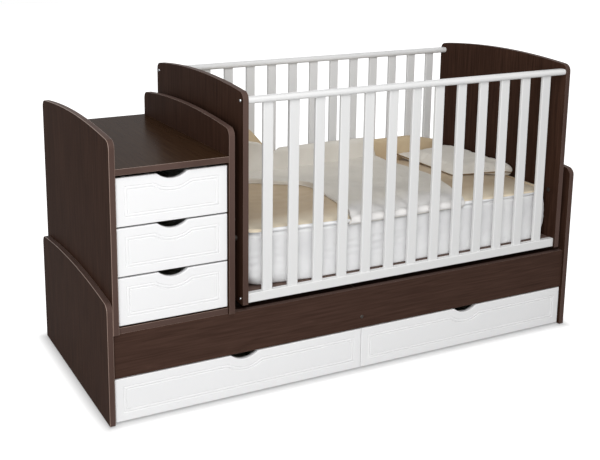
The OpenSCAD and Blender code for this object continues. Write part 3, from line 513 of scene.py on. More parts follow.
def socket_screw():
    """Points of one screw along +X with its head's seat at zero: (steps, angles, 3)."""
    angle = np.linspace(0, 2 * math.pi, 48, endpoint=False)
    hexagon = math.cos(math.pi / 6) / np.cos((angle + math.pi / 6) % (math.pi / 3) - math.pi / 6)
    circle = np.ones_like(angle)
    socket = SOCKET_RADIUS * hexagon
    steps = [(-HEAD_HEIGHT * 0.35, 0.0 * circle), (-HEAD_HEIGHT * 0.35, socket * 0.98),
             (-HEAD_HEIGHT * 0.97, socket), (-HEAD_HEIGHT, socket * 1.08)]
    dome = np.linspace(0.62, 1.0, 6)
    steps += [(-HEAD_HEIGHT * math.sqrt(max(0.0, 1 - s ** 6)), HEAD_RADIUS * s * circle) for s in dome]
    steps += [(0.0, SCREW_RADIUS * circle), (SCREW_LENGTH - TIP_LENGTH, SCREW_RADIUS * circle),
              (SCREW_LENGTH, TIP_RADIUS * circle), (SCREW_LENGTH, 0.0 * circle)]
    return np.stack([np.stack([np.full_like(angle, x), r * np.cos(angle), r * np.sin(angle)], 1)
                     for x, r in steps])


def rail_screws():
    """Eight screws at the rails' ends, the right-hand ones turned to face the other way."""
    one = socket_screw()
    rows, cols = one.shape[:2]
    left, right_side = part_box("cot_left_end")[0].x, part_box("cot_right_end")[1].x
    points, faces = [], []
    for rail in ("cot_front_top_rail", "cot_back_top_rail", "cot_front_low_rail", "cot_back_low_rail"):
        low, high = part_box(rail)
        for x, way in ((left, 1), (right_side, -1)):
            place = np.array([x, (low.y + high.y) / 2, (low.z + high.z) / 2])
            faces.append(grid_faces(rows, cols, wrap_cols=True) + len(points) * rows * cols)
            points.append((one * [way, way, 1] + place).reshape(-1, 3))
    piece = make_piece("socket_screws", np.concatenate(points), np.concatenate(faces), bright_zinc,
                       "cot", sharp=35)
    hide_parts("cot_screws")


rail_screws()

# %% [markdown]
# Cloth needs a weave that follows the piece, so it reads the flat texture coordinates, which are
# in metres. Real threads are 0.3 mm apart, too fine for this picture, so they are drawn about
# five times as coarse. Two crossing sets of bands make the plain weave, and a slow noise
# gives the washed, slightly uneven colour of cotton.

# %% Woven cotton
THREAD = 1.6 * MM
WAVE_PERIOD = 0.314  # metres from band to band in a wave texture of scale 1
FRONT_HIGHLIGHT_BAND = (-0.235, -0.15)  # where across the bed the painted highlight along the front edge fades into the plain cloth
FRONT_HIGHLIGHT_WANDER = 50 * MM


def woven(name, dark, light, sheen=0.25, gloss=0.8, front=None):
    """Plain-woven cotton on the piece's own flat coordinates; front is a painted highlight along the front
    edge.
    """
    material, tree, shader = start_finish(name, Roughness=gloss, Sheen_Weight=sheen, Sheen_Roughness=0.4,
                                          Specular_IOR_Level=0.3)
    flat = add(tree, "ShaderNodeUVMap", {"uv_map": "flat"}).outputs["UV"]
    bands = [add(tree, "ShaderNodeTexWave", {"bands_direction": way}, Vector=flat, Distortion=0.6,
                 Scale=WAVE_PERIOD / THREAD / 2, Detail=1.0, Detail_Scale=2.0).outputs["Fac"]
             for way in ("X", "Y")]
    weave = add(tree, "ShaderNodeMath", {"operation": "MULTIPLY"}, i0=bands[0], i1=bands[1]).outputs[0]
    cloud = spots(tree, flat, 90 * MM, detail=4)
    colour = mixed(tree, spread(tree, cloud, 0.3, 0.7), linear(dark), linear(light))
    if front:
        # front is a painted highlight: a paler colour along the bed's front edge, where the cloth curves
        # towards the lamps.
        across = add(tree, "ShaderNodeSeparateXYZ", Vector=flat).outputs[Y]
        highlight_edge = add(tree, "ShaderNodeMath", {"operation": "MULTIPLY_ADD"}, i0=cloud, i1=FRONT_HIGHLIGHT_WANDER,
                     i2=across)
        colour = mixed(tree, spread(tree, highlight_edge.outputs[0], *FRONT_HIGHLIGHT_BAND), linear(front), colour)
    coarse = raised(tree, spots(tree, flat, 20 * MM), 0.8 * MM, 0.35)
    fine = add(tree, "ShaderNodeBump", Height=weave, Distance=0.15 * MM, Strength=0.5, Normal=coarse)
    drive(shader, Base_Color=colour, Normal=fine.outputs["Normal"])
    return material


tan_cotton = woven("tan satin cotton", "c6b192", "d2bf9f", sheen=0.4, gloss=0.55)
# The front colour of the sheet and the duvet is a painted highlight along the bed's front edge.
sheet_cotton = woven("stretched tan cotton", "b8a07e", "c5ae8c", sheen=0.4, gloss=0.55, front="e4d6bd")
cream_cotton = woven("cream cotton", "d9d4ca", "e2ddd4")
duvet_cotton = woven("cream cotton with a painted front highlight", "d5d0c6", "dfdad1", front="e2e0de")
white_cover = woven("white mattress ticking", "dadadb", "e3e3e3")
piping_brown = woven("brown piping", "7a6142", "8c7350")
piping_white = woven("white piping", "ebecee", "f4f4f5")
piping_cream = woven("cream piping", "dcd6cb", "e6e1d8")

# %% [markdown]
# A mattress is foam under a tight quilted cover. Its outline in plan is a rectangle with round
# corners; the side swells a little under the corded seam at its top, and the top is a low
# dome. The rings run up the side and over the dome to a point, and a quilted diamond
# pattern is pressed into the side.

# %% Shape of the made bed
MATTRESS_SIDE = 165 * MM
CROWN = 13 * MM
BULGE = 5 * MM
LEFT_RISE = 12 * MM
CORNER = 55 * MM
SWOLLEN_CORNER = 22 * MM
PIPING_RADIUS = 5.5 * MM
CORD_OUT = -2 * MM
SHEET_THICK = 2.5 * MM
SOFT_GAP = 0.6 * MM
mattress_low, mattress_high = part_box("mattress")
bed_middle = (mattress_low.x + mattress_high.x) / 2
half_long = (mattress_high.x - mattress_low.x) / 2 - BULGE
half_wide = (mattress_high.y - mattress_low.y) / 2 - BULGE
side_top = mattress_low.z + MATTRESS_SIDE
print("the cord round the mattress is", round(side_top, 3), "m above the floor")


def ease(t):
    """Goes smoothly from 0 to 1 as t does."""
    t = np.clip(t, 0, 1)
    return t * t * (3 - 2 * t)


def left_rise(x, y):
    """How much the front edge rides up towards the dresser."""
    return LEFT_RISE * ease((0.05 - x) / 0.45) * ease((-y - 0.12) / 0.17)


def dome(x, y):
    """Height over the side edge of the mattress: it falls steeply at the front, gently behind."""
    u = np.minimum(1, np.abs(x - bed_middle) / half_long)
    v = np.minimum(1, np.abs(y) / half_wide)
    return CROWN * (1 - u ** 8) * (1 - v ** np.where(y < 0, 5, 2.5)) + left_rise(x, y)


def plan_ring(out, corner):
    """The mattress outline grown by out, with round corners: a straight and a quarter arc, four times."""
    x, y = half_long + out - corner, half_wide + out - corner
    centres = np.array([(x, -y), (x, y), (-x, y), (-x, -y)])
    parts = []
    for side in range(4):
        away = side * math.pi / 2
        offset = corner * np.array([math.cos(away), math.sin(away)])
        start, stop = centres[side], centres[(side + 1) % 4]
        parts.append(straight(start + offset, stop + offset, 180 if side % 2 else 90))
        parts.append(arc(*stop, corner, away + straight(0, math.pi / 2, 16)))
    return np.concatenate(parts).T


# %% Mattress with its swollen side
QUILT = 60 * MM
QUILT_DEPTH = 0.9 * MM
WRINKLE = 1.6 * MM
GROOVE = 6.5 * MM
GROOVE_DOWN = 8.5 * MM
GROOVE_WIDTH = 3.5 * MM
LOW_ROUND = 5 * MM
LOW_SWELL = 9 * MM
LOW_SWELL_HEIGHT = 50 * MM
LEFT_TUCK = 20 * MM
RIGHT_TUCK = 12 * MM


def side_out(run, x, y, up):
    """How far the side stands out at a height up: swollen, with a groove under the cord."""
    t = up / MATTRESS_SIDE
    swell = math.sin(math.pi * t)
    across = run / run[-1] * round(run[-1] / QUILT)
    stitched = np.abs(np.sin(math.pi * (across + up / QUILT)) * np.sin(math.pi * (across - up / QUILT)))
    wave = np.sin(46 * t + 3 * np.sin(run * 5) + 2 * np.sin(run * 13))
    wave = wave * np.sin(run * 7 + 2 * np.sin(run * 3))
    out = BULGE * swell ** 0.5 - min(1, 9 * t, 9 * (1 - t)) * QUILT_DEPTH * (1 - stitched ** 0.5)
    out = out + WRINKLE * swell ** 3 * (wave - 1) / 2
    out = out - GROOVE * math.exp(-((MATTRESS_SIDE - up - GROOVE_DOWN) / GROOVE_WIDTH) ** 2)
    turned = max(0, 1 - up / LOW_ROUND)
    out = out + LOW_ROUND * (math.sqrt(1 - turned ** 2) - 1)
    along = ease((half_long - np.abs(x - bed_middle)) / 0.06)
    out = out + LOW_SWELL * along * math.exp(-(up / LOW_SWELL_HEIGHT) ** 2)
    front = ease((-y - 0.2) / 0.08)
    tuck = LEFT_TUCK * ease((-0.12 - x) / 0.26) + RIGHT_TUCK * ease((x - 0.7) / 0.08)
    return out - tuck * front * max(0, 1 - t / 0.3) ** 2


def mattress_cover():
    """Rings from the middle of the underside up the swollen side and over the dome."""
    run = run_along(plan_ring(0, CORNER).T)
    rings, flats = [], []

    def ring(x, y, z, flat):
        rings.append(np.stack([x, y, np.broadcast_to(z, x.shape)], 1))
        flats.append(flat)

    inner_x, inner_y = plan_ring(-PIPING_RADIUS - LEFT_TUCK, CORNER)
    for s in np.linspace(0, 1, 12):
        ring(inner_x * s, inner_y * s, mattress_low.z, np.stack([inner_x * s, inner_y * s], 1))
    for share in np.linspace(0, 1, 64)[:-1]:
        up = MATTRESS_SIDE * (1 - math.cos(math.pi * share)) / 2
        corner = CORNER - (CORNER - SWOLLEN_CORNER) * math.sin(math.pi * up / MATTRESS_SIDE) ** 0.6
        x, y = plan_ring(0, corner)
        near_x, near_y = plan_ring(MM, corner)
        out = side_out(run, x + bed_middle, y, up)
        rise = left_rise(x + bed_middle, y) * (up / MATTRESS_SIDE) ** 2
        ring(x + (near_x - x) / MM * out, y + (near_y - y) / MM * out, mattress_low.z + up + rise,
             np.stack([run, np.full_like(run, up)], 1))
    top_x, top_y = plan_ring(CORD_OUT - PIPING_RADIUS, CORNER)
    for s in 1 - np.linspace(0, 1, 30) ** 1.3:
        x, y = top_x * s, top_y * s
        ring(x, y, side_top + dome(x + bed_middle, y), np.stack([x, y], 1))
    points = np.stack(rings) + [bed_middle, 0, 0]
    faces = grid_faces(len(rings), len(run), wrap_cols=True)
    piece = make_piece("mattress_cover", points, faces, white_cover, "cot", np.stack(flats))
    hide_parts("mattress")


mattress_cover()

# %% [markdown]
# Piping is a cord sewn into a folded strip along a seam: a thin tube that follows the edge. The
# tube's rings stand square to the path, between the path's own direction and straight up.

# %% Piping
TUBE_SIDES = 10


def tube(path, radius):
    """Rings of points round a closed path, with texture coordinates along and round it."""
    ahead_of = np.roll(path, -1, 0) - np.roll(path, 1, 0)
    ahead_of /= np.linalg.norm(ahead_of, axis=1, keepdims=True)
    side = np.cross(ahead_of, [0, 0, 1.0])
    side /= np.linalg.norm(side, axis=1, keepdims=True)
    over = np.cross(side, ahead_of)
    angle = np.linspace(0, 2 * math.pi, TUBE_SIDES, endpoint=False)
    ring = np.cos(angle)[None, :, None] * side[:, None] + np.sin(angle)[None, :, None] * over[:, None]
    flat = np.stack(np.broadcast_arrays(run_along(path)[:, None], angle[None, :] * radius), 2)
    return path[:, None] + radius * ring, flat


def piping(name, path, radius, material):
    """A sewn cord along a closed path."""
    points, flat = tube(path, radius)
    faces = grid_faces(*points.shape[:2], wrap_rows=True, wrap_cols=True)
    piece = make_piece(name, points, faces, material, "cot", flat, merge=False)


def mattress_piping():
    """Cord round the top of the mattress, standing a little out from its side."""
    x, y = plan_ring(CORD_OUT, CORNER)
    path = np.stack([x + bed_middle, y, side_top + left_rise(x + bed_middle, y)], 1)
    piping("mattress_piping", path, PIPING_RADIUS, piping_white)


mattress_piping()

# %% [markdown]
# The tan sheet is drawn tight over the top of the mattress. Behind and at both ends it goes
# over the piping and a little down the side, along the front it stops on the cord: at its
# inner side towards the dresser, and past its top towards the pillow.

# %% Sheet over the mattress
CORD_START = math.radians(150)
STOP_LEFT = 140  # degrees round the cord where the sheet stops at the front, towards the dresser
STOP_TURN = 115  # how much further over the cord it stops towards the pillow
SHEET_HANG = 8 * MM
FRONT_STRIP = 30 * MM
FADE = 60 * MM
PUCKER = 0.5 * MM


def tight_sheet():
    """Two layers of rings over the dome and the cord, the lower one run outwards, the upper back."""
    cord_x, cord_y = plan_ring(CORD_OUT, CORNER)
    far_x, far_y = plan_ring(CORD_OUT + MM, CORNER)
    away_x, away_y = (far_x - cord_x) / MM, (far_y - cord_y) / MM
    reach = PIPING_RADIUS + SOFT_GAP
    x, y = plan_ring(CORD_OUT + reach * math.cos(CORD_START), CORNER)
    hang = SHEET_HANG * ease((cord_y + half_wide - FRONT_STRIP) / FADE)
    front = (1 - hang / SHEET_HANG) * ease((cord_x + half_long - FADE) / FRONT_STRIP)
    stop = front * np.radians(STOP_LEFT - STOP_TURN * ease((cord_x - 0.2) / 0.15))
    rise = left_rise(cord_x + bed_middle, cord_y)
    rings, flats = [], []

    def layer(lift):
        found = []
        for s in np.linspace(0, 1, 44) ** 0.8:
            px, py = x * s, y * s
            pucker = np.sin(px * 37 + 9 * np.sin(py * 11)) * np.sin(py * 53 + 5 * np.sin(px * 13))
            z = side_top + SOFT_GAP + dome(px + bed_middle, py) + lift
            found.append((px, py, z + PUCKER * pucker * (lift > 0) * (s < 1), px, py))
        for share in np.linspace(0, 1, 9)[1:]:
            angle = CORD_START + (stop - CORD_START) * share
            out = (reach + lift) * np.cos(angle)
            run = reach * (CORD_START - angle)
            z = side_top + rise + (reach + lift) * np.sin(angle)
            found.append((cord_x + away_x * out, cord_y + away_y * out, z,
                          x + away_x * run, y + away_y * run))
        px, py, z, fx, fy = found[-1]
        found.append((px, py, z - hang, fx + away_x * hang, fy + away_y * hang))
        return found

    for px, py, z, fx, fy in layer(0.0) + layer(SHEET_THICK)[::-1]:
        rings.append(np.stack([px + bed_middle, py, z], 1))
        flats.append(np.stack([fx, fy], 1))
    faces = grid_faces(len(rings), len(x), wrap_cols=True)
    piece = make_piece("tight_sheet", np.stack(rings), faces, sheet_cotton, "cot",
                       np.stack(flats), sharp=60)
    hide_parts("fitted_sheet")


tight_sheet()

# %% [markdown]
# Padded cloth is never quite even: the filling pushes it out between its seams. Blender's cloth
# solver gives that: a little air pressure with gravity off, for a few frames, on the finished
# mesh. Points that rest on something are pinned, and no point may move further than a cap.

# %% Puff up a padded piece
PUFF_FRAMES = 20
PRESSURE = 3.0


def puff(piece, cap, pinned, grow=0.0):
    """Lets cloth swell under pressure. pinned is a weight from 0 to 1 for each vertex."""
    mesh = piece.data
    start = np.zeros(len(mesh.vertices) * 3)
    mesh.vertices.foreach_get("co", start)
    start = start.reshape(-1, 3)
    group = piece.vertex_groups.new(name="pinned")
    for weight in np.unique(pinned[pinned > 0]):
        group.add(np.nonzero(pinned == weight)[0].tolist(), float(weight), "REPLACE")
    cloth = piece.modifiers.new("cloth", "CLOTH")
    settings = cloth.settings
    settings.use_pressure = True
    settings.uniform_pressure_force = PRESSURE
    settings.vertex_group_mass = "pinned"
    settings.effector_weights.gravity = 0
    settings.shrink_min = -grow
    settings.tension_stiffness = 12
    settings.compression_stiffness = 12
    settings.bending_stiffness = 0.4
    cloth.collision_settings.use_collision = False
    cloth.point_cache.frame_end = PUFF_FRAMES
    for step in range(1, PUFF_FRAMES + 1):
        bpy.context.scene.frame_set(step)
    evaluated = piece.evaluated_get(bpy.context.evaluated_depsgraph_get())
    moved = np.zeros(len(mesh.vertices) * 3)
    evaluated.data.vertices.foreach_get("co", moved)
    moved = moved.reshape(-1, 3)
    piece.modifiers.remove(cloth)
    piece.vertex_groups.remove(group)
    bpy.context.scene.frame_set(1)
    shift = moved - start
    size = np.linalg.norm(shift, axis=1, keepdims=True)
    shift *= np.minimum(1, cap / np.maximum(size, 1e-9))
    mesh.vertices.foreach_set("co", (start + shift).ravel())
    mesh.update()
    print(f"{piece.name}: swelled by up to {size.max() / MM:.1f} mm, kept to {cap / MM:.0f} mm")
    return start + shift


def finer(piece):
    """One level of Subdivision Surface, the same in view and render."""
    smooth = piece.modifiers.new("finer", "SUBSURF")
    smooth.levels = 1
    smooth.render_levels = 1


# %% [markdown]
# The pad along the back is a long soft strip. Its section is a flattened oval that stands on the
# bed, and its top line climbs in one smooth step at the dresser's end and sinks a little behind
# the pillow. The part that nothing covers is left free to swell.

# %% Back pad
bumper_low, bumper_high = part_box("bumper")
BUMPER_HEIGHT = 90 * MM
BUMPER_RISE = 102 * MM
BUMPER_DROP = 30 * MM
PAD_FOOT = 8 * MM
PAD_SWELL = 5 * MM
BARE_FROM = 480 * MM
bumper_z = side_top + SHEET_THICK + 2 * SOFT_GAP + MM
cot_start, cot_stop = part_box("cot_left_end")[1].x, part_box("cot_right_end")[0].x


def bumper_top(x):
    """Height of the pad's top line: level, with a climb to the left and a sag to the right."""
    t = (x - cot_start) / (cot_stop - cot_start)
    climb, sag = 1 - ease((t - 0.247) / 0.108), ease((t - 0.84) / 0.158)
    return bumper_z + BUMPER_HEIGHT + BUMPER_RISE * climb - BUMPER_DROP * sag


def back_pad():
    """Ovals along X: half the thickness across, and half the local height up and down."""
    rows, cols = 220, 60
    x = np.linspace(bumper_low.x, bumper_high.x, rows)
    angle = np.linspace(0, 2 * math.pi, cols, endpoint=False)
    c, s = np.cos(angle), np.sin(angle)
    end = np.minimum(1, np.minimum(np.arange(rows), rows - 1 - np.arange(rows)) / 5) ** 0.5
    half = (bumper_high.y - bumper_low.y) / 2 * (0.3 + 0.7 * end)
    middle = (bumper_low.y + bumper_high.y) / 2
    y = middle + half[:, None] * np.sign(c) * np.abs(c) ** 0.7
    height = (bumper_top(x) - bumper_z)[:, None]
    z = bumper_z + height / 2 * (1 + np.sign(s) * np.abs(s) ** 0.35)
    bare = ease((x - 0.46) / 0.05)[:, None] * (c < 0)
    y = y - bare * PAD_FOOT * np.exp(-((z - bumper_z - PAD_FOOT) / (2 * PAD_FOOT)) ** 2)
    points = np.stack([np.broadcast_to(x[:, None], y.shape), y, z], 2)
    flat = np.stack(np.broadcast_arrays(x[:, None], angle[None, :] * 0.08), 2)
    piece = make_piece("back_pad", points, capped_faces(rows, cols), tan_cotton, "cot", flat)
    place = np.array([v.co for v in piece.data.vertices])
    free = (place[:, 0] > BARE_FROM) & (place[:, 1] < middle) & (place[:, 2] > bumper_z + PAD_FOOT)
    puff(piece, PAD_SWELL, np.where(free, 0.0, 1.0))
    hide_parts("bumper")


back_pad()

# %% [markdown]
# The duvet is a thin quilt thrown over the bed: it rolls over the piped front edge, lies on the
# bed, climbs the pad at the back and folds over its top. It is laid out on a bent ruler w that
# runs across the bed. Two border lines on that ruler give its cut, and the cloth between them is
# a blend of the two.

# %% Bent ruler across the bed
DUVET_THICK = 12 * MM
DUVET_LIFT = 0.8 * MM
DUVET_CORD = 1.6 * MM
HEM_THICK = 7 * MM
EXTRA_THICK = 4 * MM
RIM_THICK = 0.4 * MM
NEAR = 8 * MM
BRIDGE_WIDTH = 55 * MM
THICKENING = 50 * MM
EDGE_BEND = PIPING_RADIUS + 1.5 * MM
EDGE_RUN = 30 * MM
WALL_BEND = 14 * MM
WALL_BRIDGE = 19 * MM
TOP_BEND = 5 * MM
FOLD_GAP = 1.1 * MM
slats_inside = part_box("cot_front_slats")[1].y
duvet_front_y = slats_inside + DUVET_THICK + 2 * MM
duvet_wall_y = bumper_low.y - SOFT_GAP
edge_y, edge_z = duvet_front_y + EDGE_BEND, side_top + SOFT_GAP
wall_y = duvet_wall_y - WALL_BEND
print("the duvet lies flat from y", round(edge_y, 3), "to", round(wall_y, 3))


def over_bed(x, y):
    """Height of the made bed, just clear of the sheet."""
    return side_top + 2 * SOFT_GAP + SHEET_THICK + dome(x, y)


def under_duvet(x, y):
    """Height of the quilt's lower side: over the bed, and up to the piping at the front edge."""
    bed = over_bed(x, y) + DUVET_LIFT
    return bed + (edge_z + EDGE_BEND - bed) * ease((edge_y + EDGE_RUN - y) / EDGE_RUN)


def quarter(radius):
    """Length of a quarter turn."""
    return radius * math.pi / 2


def turn_w(x):
    """Place on the ruler where the quilt starts to fold over the top of the pad."""
    wall = under_duvet(x, wall_y) + WALL_BEND
    return wall_y + quarter(WALL_BEND) + bumper_top(x) + FOLD_GAP - TOP_BEND - wall


def ruler(x, w, off):
    """Point at w on the bent ruler, off away from the bed: hem, bed, bend and wall, or fold."""
    a = np.clip((edge_y - w) / EDGE_BEND, 0, math.pi / 2)
    hem = (edge_y - (EDGE_BEND + off) * np.sin(a),
           edge_z + (EDGE_BEND + off) * np.cos(a) + np.minimum(0, w - edge_y + quarter(EDGE_BEND)))
    bed = (w, under_duvet(x, w) + off)
    a = np.clip((w - wall_y) / WALL_BEND, 0, math.pi / 2)
    wall = (wall_y + (WALL_BEND - off) * np.sin(a),
            under_duvet(x, wall_y) + WALL_BEND - (WALL_BEND - off) * np.cos(a)
            + np.maximum(0, w - wall_y - quarter(WALL_BEND)))
    turn_at = turn_w(x)
    a = np.clip((w - turn_at) / TOP_BEND, 0, math.pi / 2)
    fold = (duvet_wall_y + TOP_BEND - (TOP_BEND + off) * np.cos(a)
            + np.maximum(0, w - turn_at - quarter(TOP_BEND)),
            bumper_top(x) + FOLD_GAP - TOP_BEND + (TOP_BEND + off) * np.sin(a))
    where = [w < edge_y, w < wall_y, w < turn_at]
    y, z = [np.select(where, [hem[k], bed[k], wall[k]], fold[k]) for k in (0, 1)]
    return np.stack([x, y, z], -1)


def curve(points, count):
    """A smooth curve through points (Catmull-Rom), sampled evenly in its parameter."""
    points = np.asarray(points, float)
    padded = np.concatenate([[2 * points[0] - points[1]], points, [2 * points[-1] - points[-2]]])
    t = np.linspace(0, len(points) - 1, count)
    k = np.minimum(t.astype(int), len(points) - 2)
    f = (t - k)[:, None]
    a, b, c, d = padded[k], padded[k + 1], padded[k + 2], padded[k + 3]
    return 0.5 * (2 * b + (c - a) * f + (2 * a - 5 * b + 4 * c - d) * f ** 2
                  + (3 * b - a - 3 * c + d) * f ** 3)


# %% Duvet
# The front border has X and w as shares of half the mattress. The back border has X as such a
# share, and w from the fold over the pad as a share of the pad's height.
DUVET_FRONT = [(-0.93, 0.8), (-0.75, 0.76), (-0.55, 0.69), (-0.44, 0.5), (-0.35, 0.37),
               (-0.3, 0.27), (-0.28, 0.1), (-0.288, -0.16), (-0.298, -0.355), (-0.308, -0.53),
               (-0.333, -0.805), (-0.36, -0.985), (-0.372, -1.036), (-0.378, -1.065), (-0.242, -1.065),
               (-0.107, -1.065), (0.029, -1.065), (0.164, -1.065), (0.278, -1.065), (0.36, -1.065),
               (0.386, -1.02), (0.428, -0.86), (0.44, -0.67), (0.455, -0.42), (0.478, -0.155),
               (0.491, 0.2), (0.478, 0.61), (0.462, 0.97)]
DUVET_BACK = [(-0.93, -0.37), (-0.785, -0.43), (-0.615, -0.48), (-0.488, -0.49), (-0.403, -0.12),
              (-0.344, -0.03), (-0.29, 0.07), (-0.242, 0.18)]
DUVET_BACK += [(x, 0.2) for x in (-0.198, -0.158, -0.11, -0.064, -0.036, -0.008, 0.049, 0.103, 0.154,
                                  0.202, 0.246, 0.286, 0.317, 0.341, 0.361, 0.378, 0.395)]
DUVET_BACK += [(0.408, 0.19), (0.419, 0.18), (0.429, 0.17)]


def folds(x, w):
    """Soft folds in metres: long bent waves, ridges that fan out from the hem, fine creases."""
    long_wave = np.sin(15 * x + 11 * w + 1.5 * np.sin(7 * w + 5 * x))
    cross_wave = np.sin(-23 * x + 19 * w + 1.8 * np.sin(11 * x + 2))
    fine = np.sin(58 * x + 31 * w + 2.2 * np.sin(17 * x - 15 * w)) * np.sin(21 * w - 13 * x)
    near_hem = np.exp(-((w - edge_y) / 0.11) ** 2)
    ridge = np.cos(43 * x + 9 * (w - edge_y) + 1.7 * np.sin(17 * x + 3)) ** 2
    on_bed = ease((w - edge_y) / 0.03) * ease((wall_y + 0.02 - w) / 0.06)
    tall = 4.2 * long_wave + 2.6 * cross_wave + 1.1 * fine + 4.5 * near_hem * (ridge - 0.4)
    pucker = np.sin(88 * x + 2 * np.sin(29 * x)) + 0.6 * np.sin(151 * x + 40 * w)
    gathered = 1.3 * pucker * np.exp(-((w - edge_y - 0.004) / 0.03) ** 2)
    return ((0.25 + 0.75 * on_bed) * tall + gathered) * MM


def two_layers(name, over, under, plane, material):
    """A piece of an upper and a lower layer that meet at their border, and the border's points."""
    under[[0, -1]] = over[[0, -1]]
    under[:, [0, -1]] = over[:, [0, -1]]
    rings = np.concatenate([over, under[:, ::-1]], 1)
    flat = np.concatenate([plane, plane[:, ::-1]], 1)
    piece = make_piece(name, rings, grid_faces(*rings.shape[:2], wrap_cols=True), material, "cot", flat)
    return piece, np.concatenate([over[0, :-1], over[:-1, -1], over[-1, :0:-1], over[:0:-1, 0]])


def duvet():
    """Upper and lower layer between the two borders, meeting in a rounded rim."""
    rows, cols = 250, 130
    front, back = curve(DUVET_FRONT, rows), curve(DUVET_BACK, rows)
    front_w = front[:, 1] * half_wide
    back_w = turn_w(bed_middle + back[:, 0] * half_long) + back[:, 1] * BUMPER_HEIGHT
    step = np.linspace(0, 1, cols)
    t = (0.6 * (1 - np.cos(math.pi * step)) / 2 + 0.4 * step)[None]
    x = bed_middle + half_long * (front[:, :1] + (back[:, :1] - front[:, :1]) * t * (2 - t))
    w = front_w[:, None] + (back_w - front_w)[:, None] * t
    i, j = np.arange(rows)[:, None], np.arange(cols)[None, :]
    rim = np.clip(np.minimum(np.minimum(i, rows - 1 - i) / 5, np.minimum(j, cols - 1 - j) / 4), 0, 1)
    rim = np.sqrt(rim * (2 - rim))
    bridge = WALL_BRIDGE * np.exp(-((w - wall_y - NEAR) / BRIDGE_WIDTH) ** 2)
    full = HEM_THICK + EXTRA_THICK * ease((w - edge_y - NEAR) / THICKENING)
    thin = 0.4 + 0.6 * ease(np.minimum(i, rows - 1 - i) / 16)
    thick = ((full + folds(x, w)) * thin + bridge) * rim + RIM_THICK
    base = MM * (1 - rim)
    piece, border = two_layers("duvet_quilt", ruler(x, w, base + thick), ruler(x, w, base),
                               np.stack([x, w], -1), duvet_cotton)
    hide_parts("duvet")
    piping("duvet_piping", border[::2], DUVET_CORD, piping_cream)


duvet()

# %% [markdown]
# The pillow is two layers sewn at a piped seam. Its sides draw in between the corners as the
# filling swells, the end by the panel is propped up, and one corner rides up on the pad. The
# solver adds the rest.

# %% Pillow
pillow_low, pillow_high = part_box("pillow")
PILLOW_WIDE = pillow_high.x - pillow_low.x
PILLOW_LONG = pillow_high.y - pillow_low.y
PILLOW_SKEW = 84 * MM
PILLOW_SEAM = 2.5 * MM
PILLOW_LIFT = 31 * MM
PILLOW_CORNER_LIFT = 22 * MM
PILLOW_REACH = 16 * MM
PILLOW_BULGE = 7 * MM
PILLOW_SHIFT = 7 * MM
PILLOW_CROWN = 26 * MM
PILLOW_TIP = 20 * MM
PILLOW_SWELL = 8 * MM
CREASE_DEPTH = 3 * MM
CORNER_PULL = (-4 * MM, 10 * MM)
SEAM_RADIUS = 2 * MM
HELD_REACH = 6 * MM


def pillow_layer(u, v, upper):
    """One layer at u across and v along, from -1 to 1: a skewed, drawn-in oblong, crowned to its seam."""
    near = 2.6 + 6 * ((1 + u) / 2) ** 2 * (v < 0)
    right_side, tip = (1 + u) / 2, ((1 + u) / 2) ** 3 * ((1 - v) / 2) ** 2
    fill = np.maximum(0, (1 - np.abs(u) ** np.where(u > 0, 6, 2.6)) * (1 - np.abs(v) ** near)) ** 0.5
    length = PILLOW_LONG - PILLOW_SKEW * (1 - u) / 2
    across = u * (1 - 0.05 * (1 - v * v) - 0.03 * v ** 8)
    along = v * (1 - 0.05 * (1 - u * u) - 0.04 * np.clip(v, 0, 1) * u ** 8)
    corner = right_side ** 9 * np.clip(-v, 0, 1) ** 9
    x = pillow_high.x + PILLOW_SHIFT - PILLOW_WIDE / 2 * (1 - across)
    x = x - PILLOW_REACH * ((1 - u) / 2) ** 2 * ((1 + v) / 2) ** 4 + CORNER_PULL[0] * corner
    y = pillow_high.y - length / 2 * (1 - along) + CORNER_PULL[1] * corner
    lift = (PILLOW_SEAM + PILLOW_LIFT * right_side ** 2.4 * (1 - 0.45 * tip)
            + PILLOW_CORNER_LIFT * (1 - u) / 2 * ((1 + v) / 2) ** 3)
    if upper:
        crease = np.exp(-((v + 0.62 - 0.16 * u) / 0.035) ** 2)
        crease = crease + np.exp(-((v + 0.45 + 0.2 * u) / 0.03) ** 2)
        crease = CREASE_DEPTH * crease * np.exp(-((u - 0.35) / 0.5) ** 2)
        z = over_bed(x, y) + lift + (PILLOW_CROWN + PILLOW_TIP * tip - crease) * fill
        out = PILLOW_BULGE * tip * 4 * fill * (1 - fill)
        x, y = x + out, y - out * (v < -0.6)
    else:
        z = over_bed(x, y) + lift * (1 - np.minimum(1, 1.6 * fill))
    return np.stack([np.minimum(x, cot_stop - SEAM_RADIUS - SOFT_GAP), y, z], -1)


def pillow():
    """Both layers as rings round the pillow, then swelled with its underside and seam held."""
    rows, cols = 80, 120
    u, v = np.meshgrid(np.linspace(-1, 1, rows), np.linspace(-1, 1, cols), indexing="ij")
    plane = np.stack([u * PILLOW_WIDE / 2, v * PILLOW_LONG / 2], -1)
    piece, seam = two_layers("pillow_case", pillow_layer(u, v, True), pillow_layer(u, v, False), plane,
                             cream_cotton)
    place = np.array([p.co for p in piece.data.vertices])
    to_seam = np.min(np.linalg.norm(place[:, None] - seam[None, ::3], axis=2), axis=1)
    above_bed = place[:, 2] - over_bed(place[:, 0], place[:, 1])
    held = np.maximum(np.clip(1 - above_bed / HELD_REACH, 0, 1), np.clip(1.4 - to_seam / HELD_REACH, 0, 1))
    place = puff(piece, PILLOW_SWELL, held, grow=0.03)
    place[:, 0] = np.minimum(place[:, 0], cot_stop - SOFT_GAP)
    piece.data.vertices.foreach_set("co", place.ravel())
    piece.data.update()
    finer(piece)
    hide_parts("pillow")
    piping("pillow_piping", seam, SEAM_RADIUS, piping_brown)


pillow()

# %% [markdown]
# A plain pale floor and large soft lamps. The floor and the background look white to the camera,
# while the lamps light the object at a level at which a colour renders about as it is written.

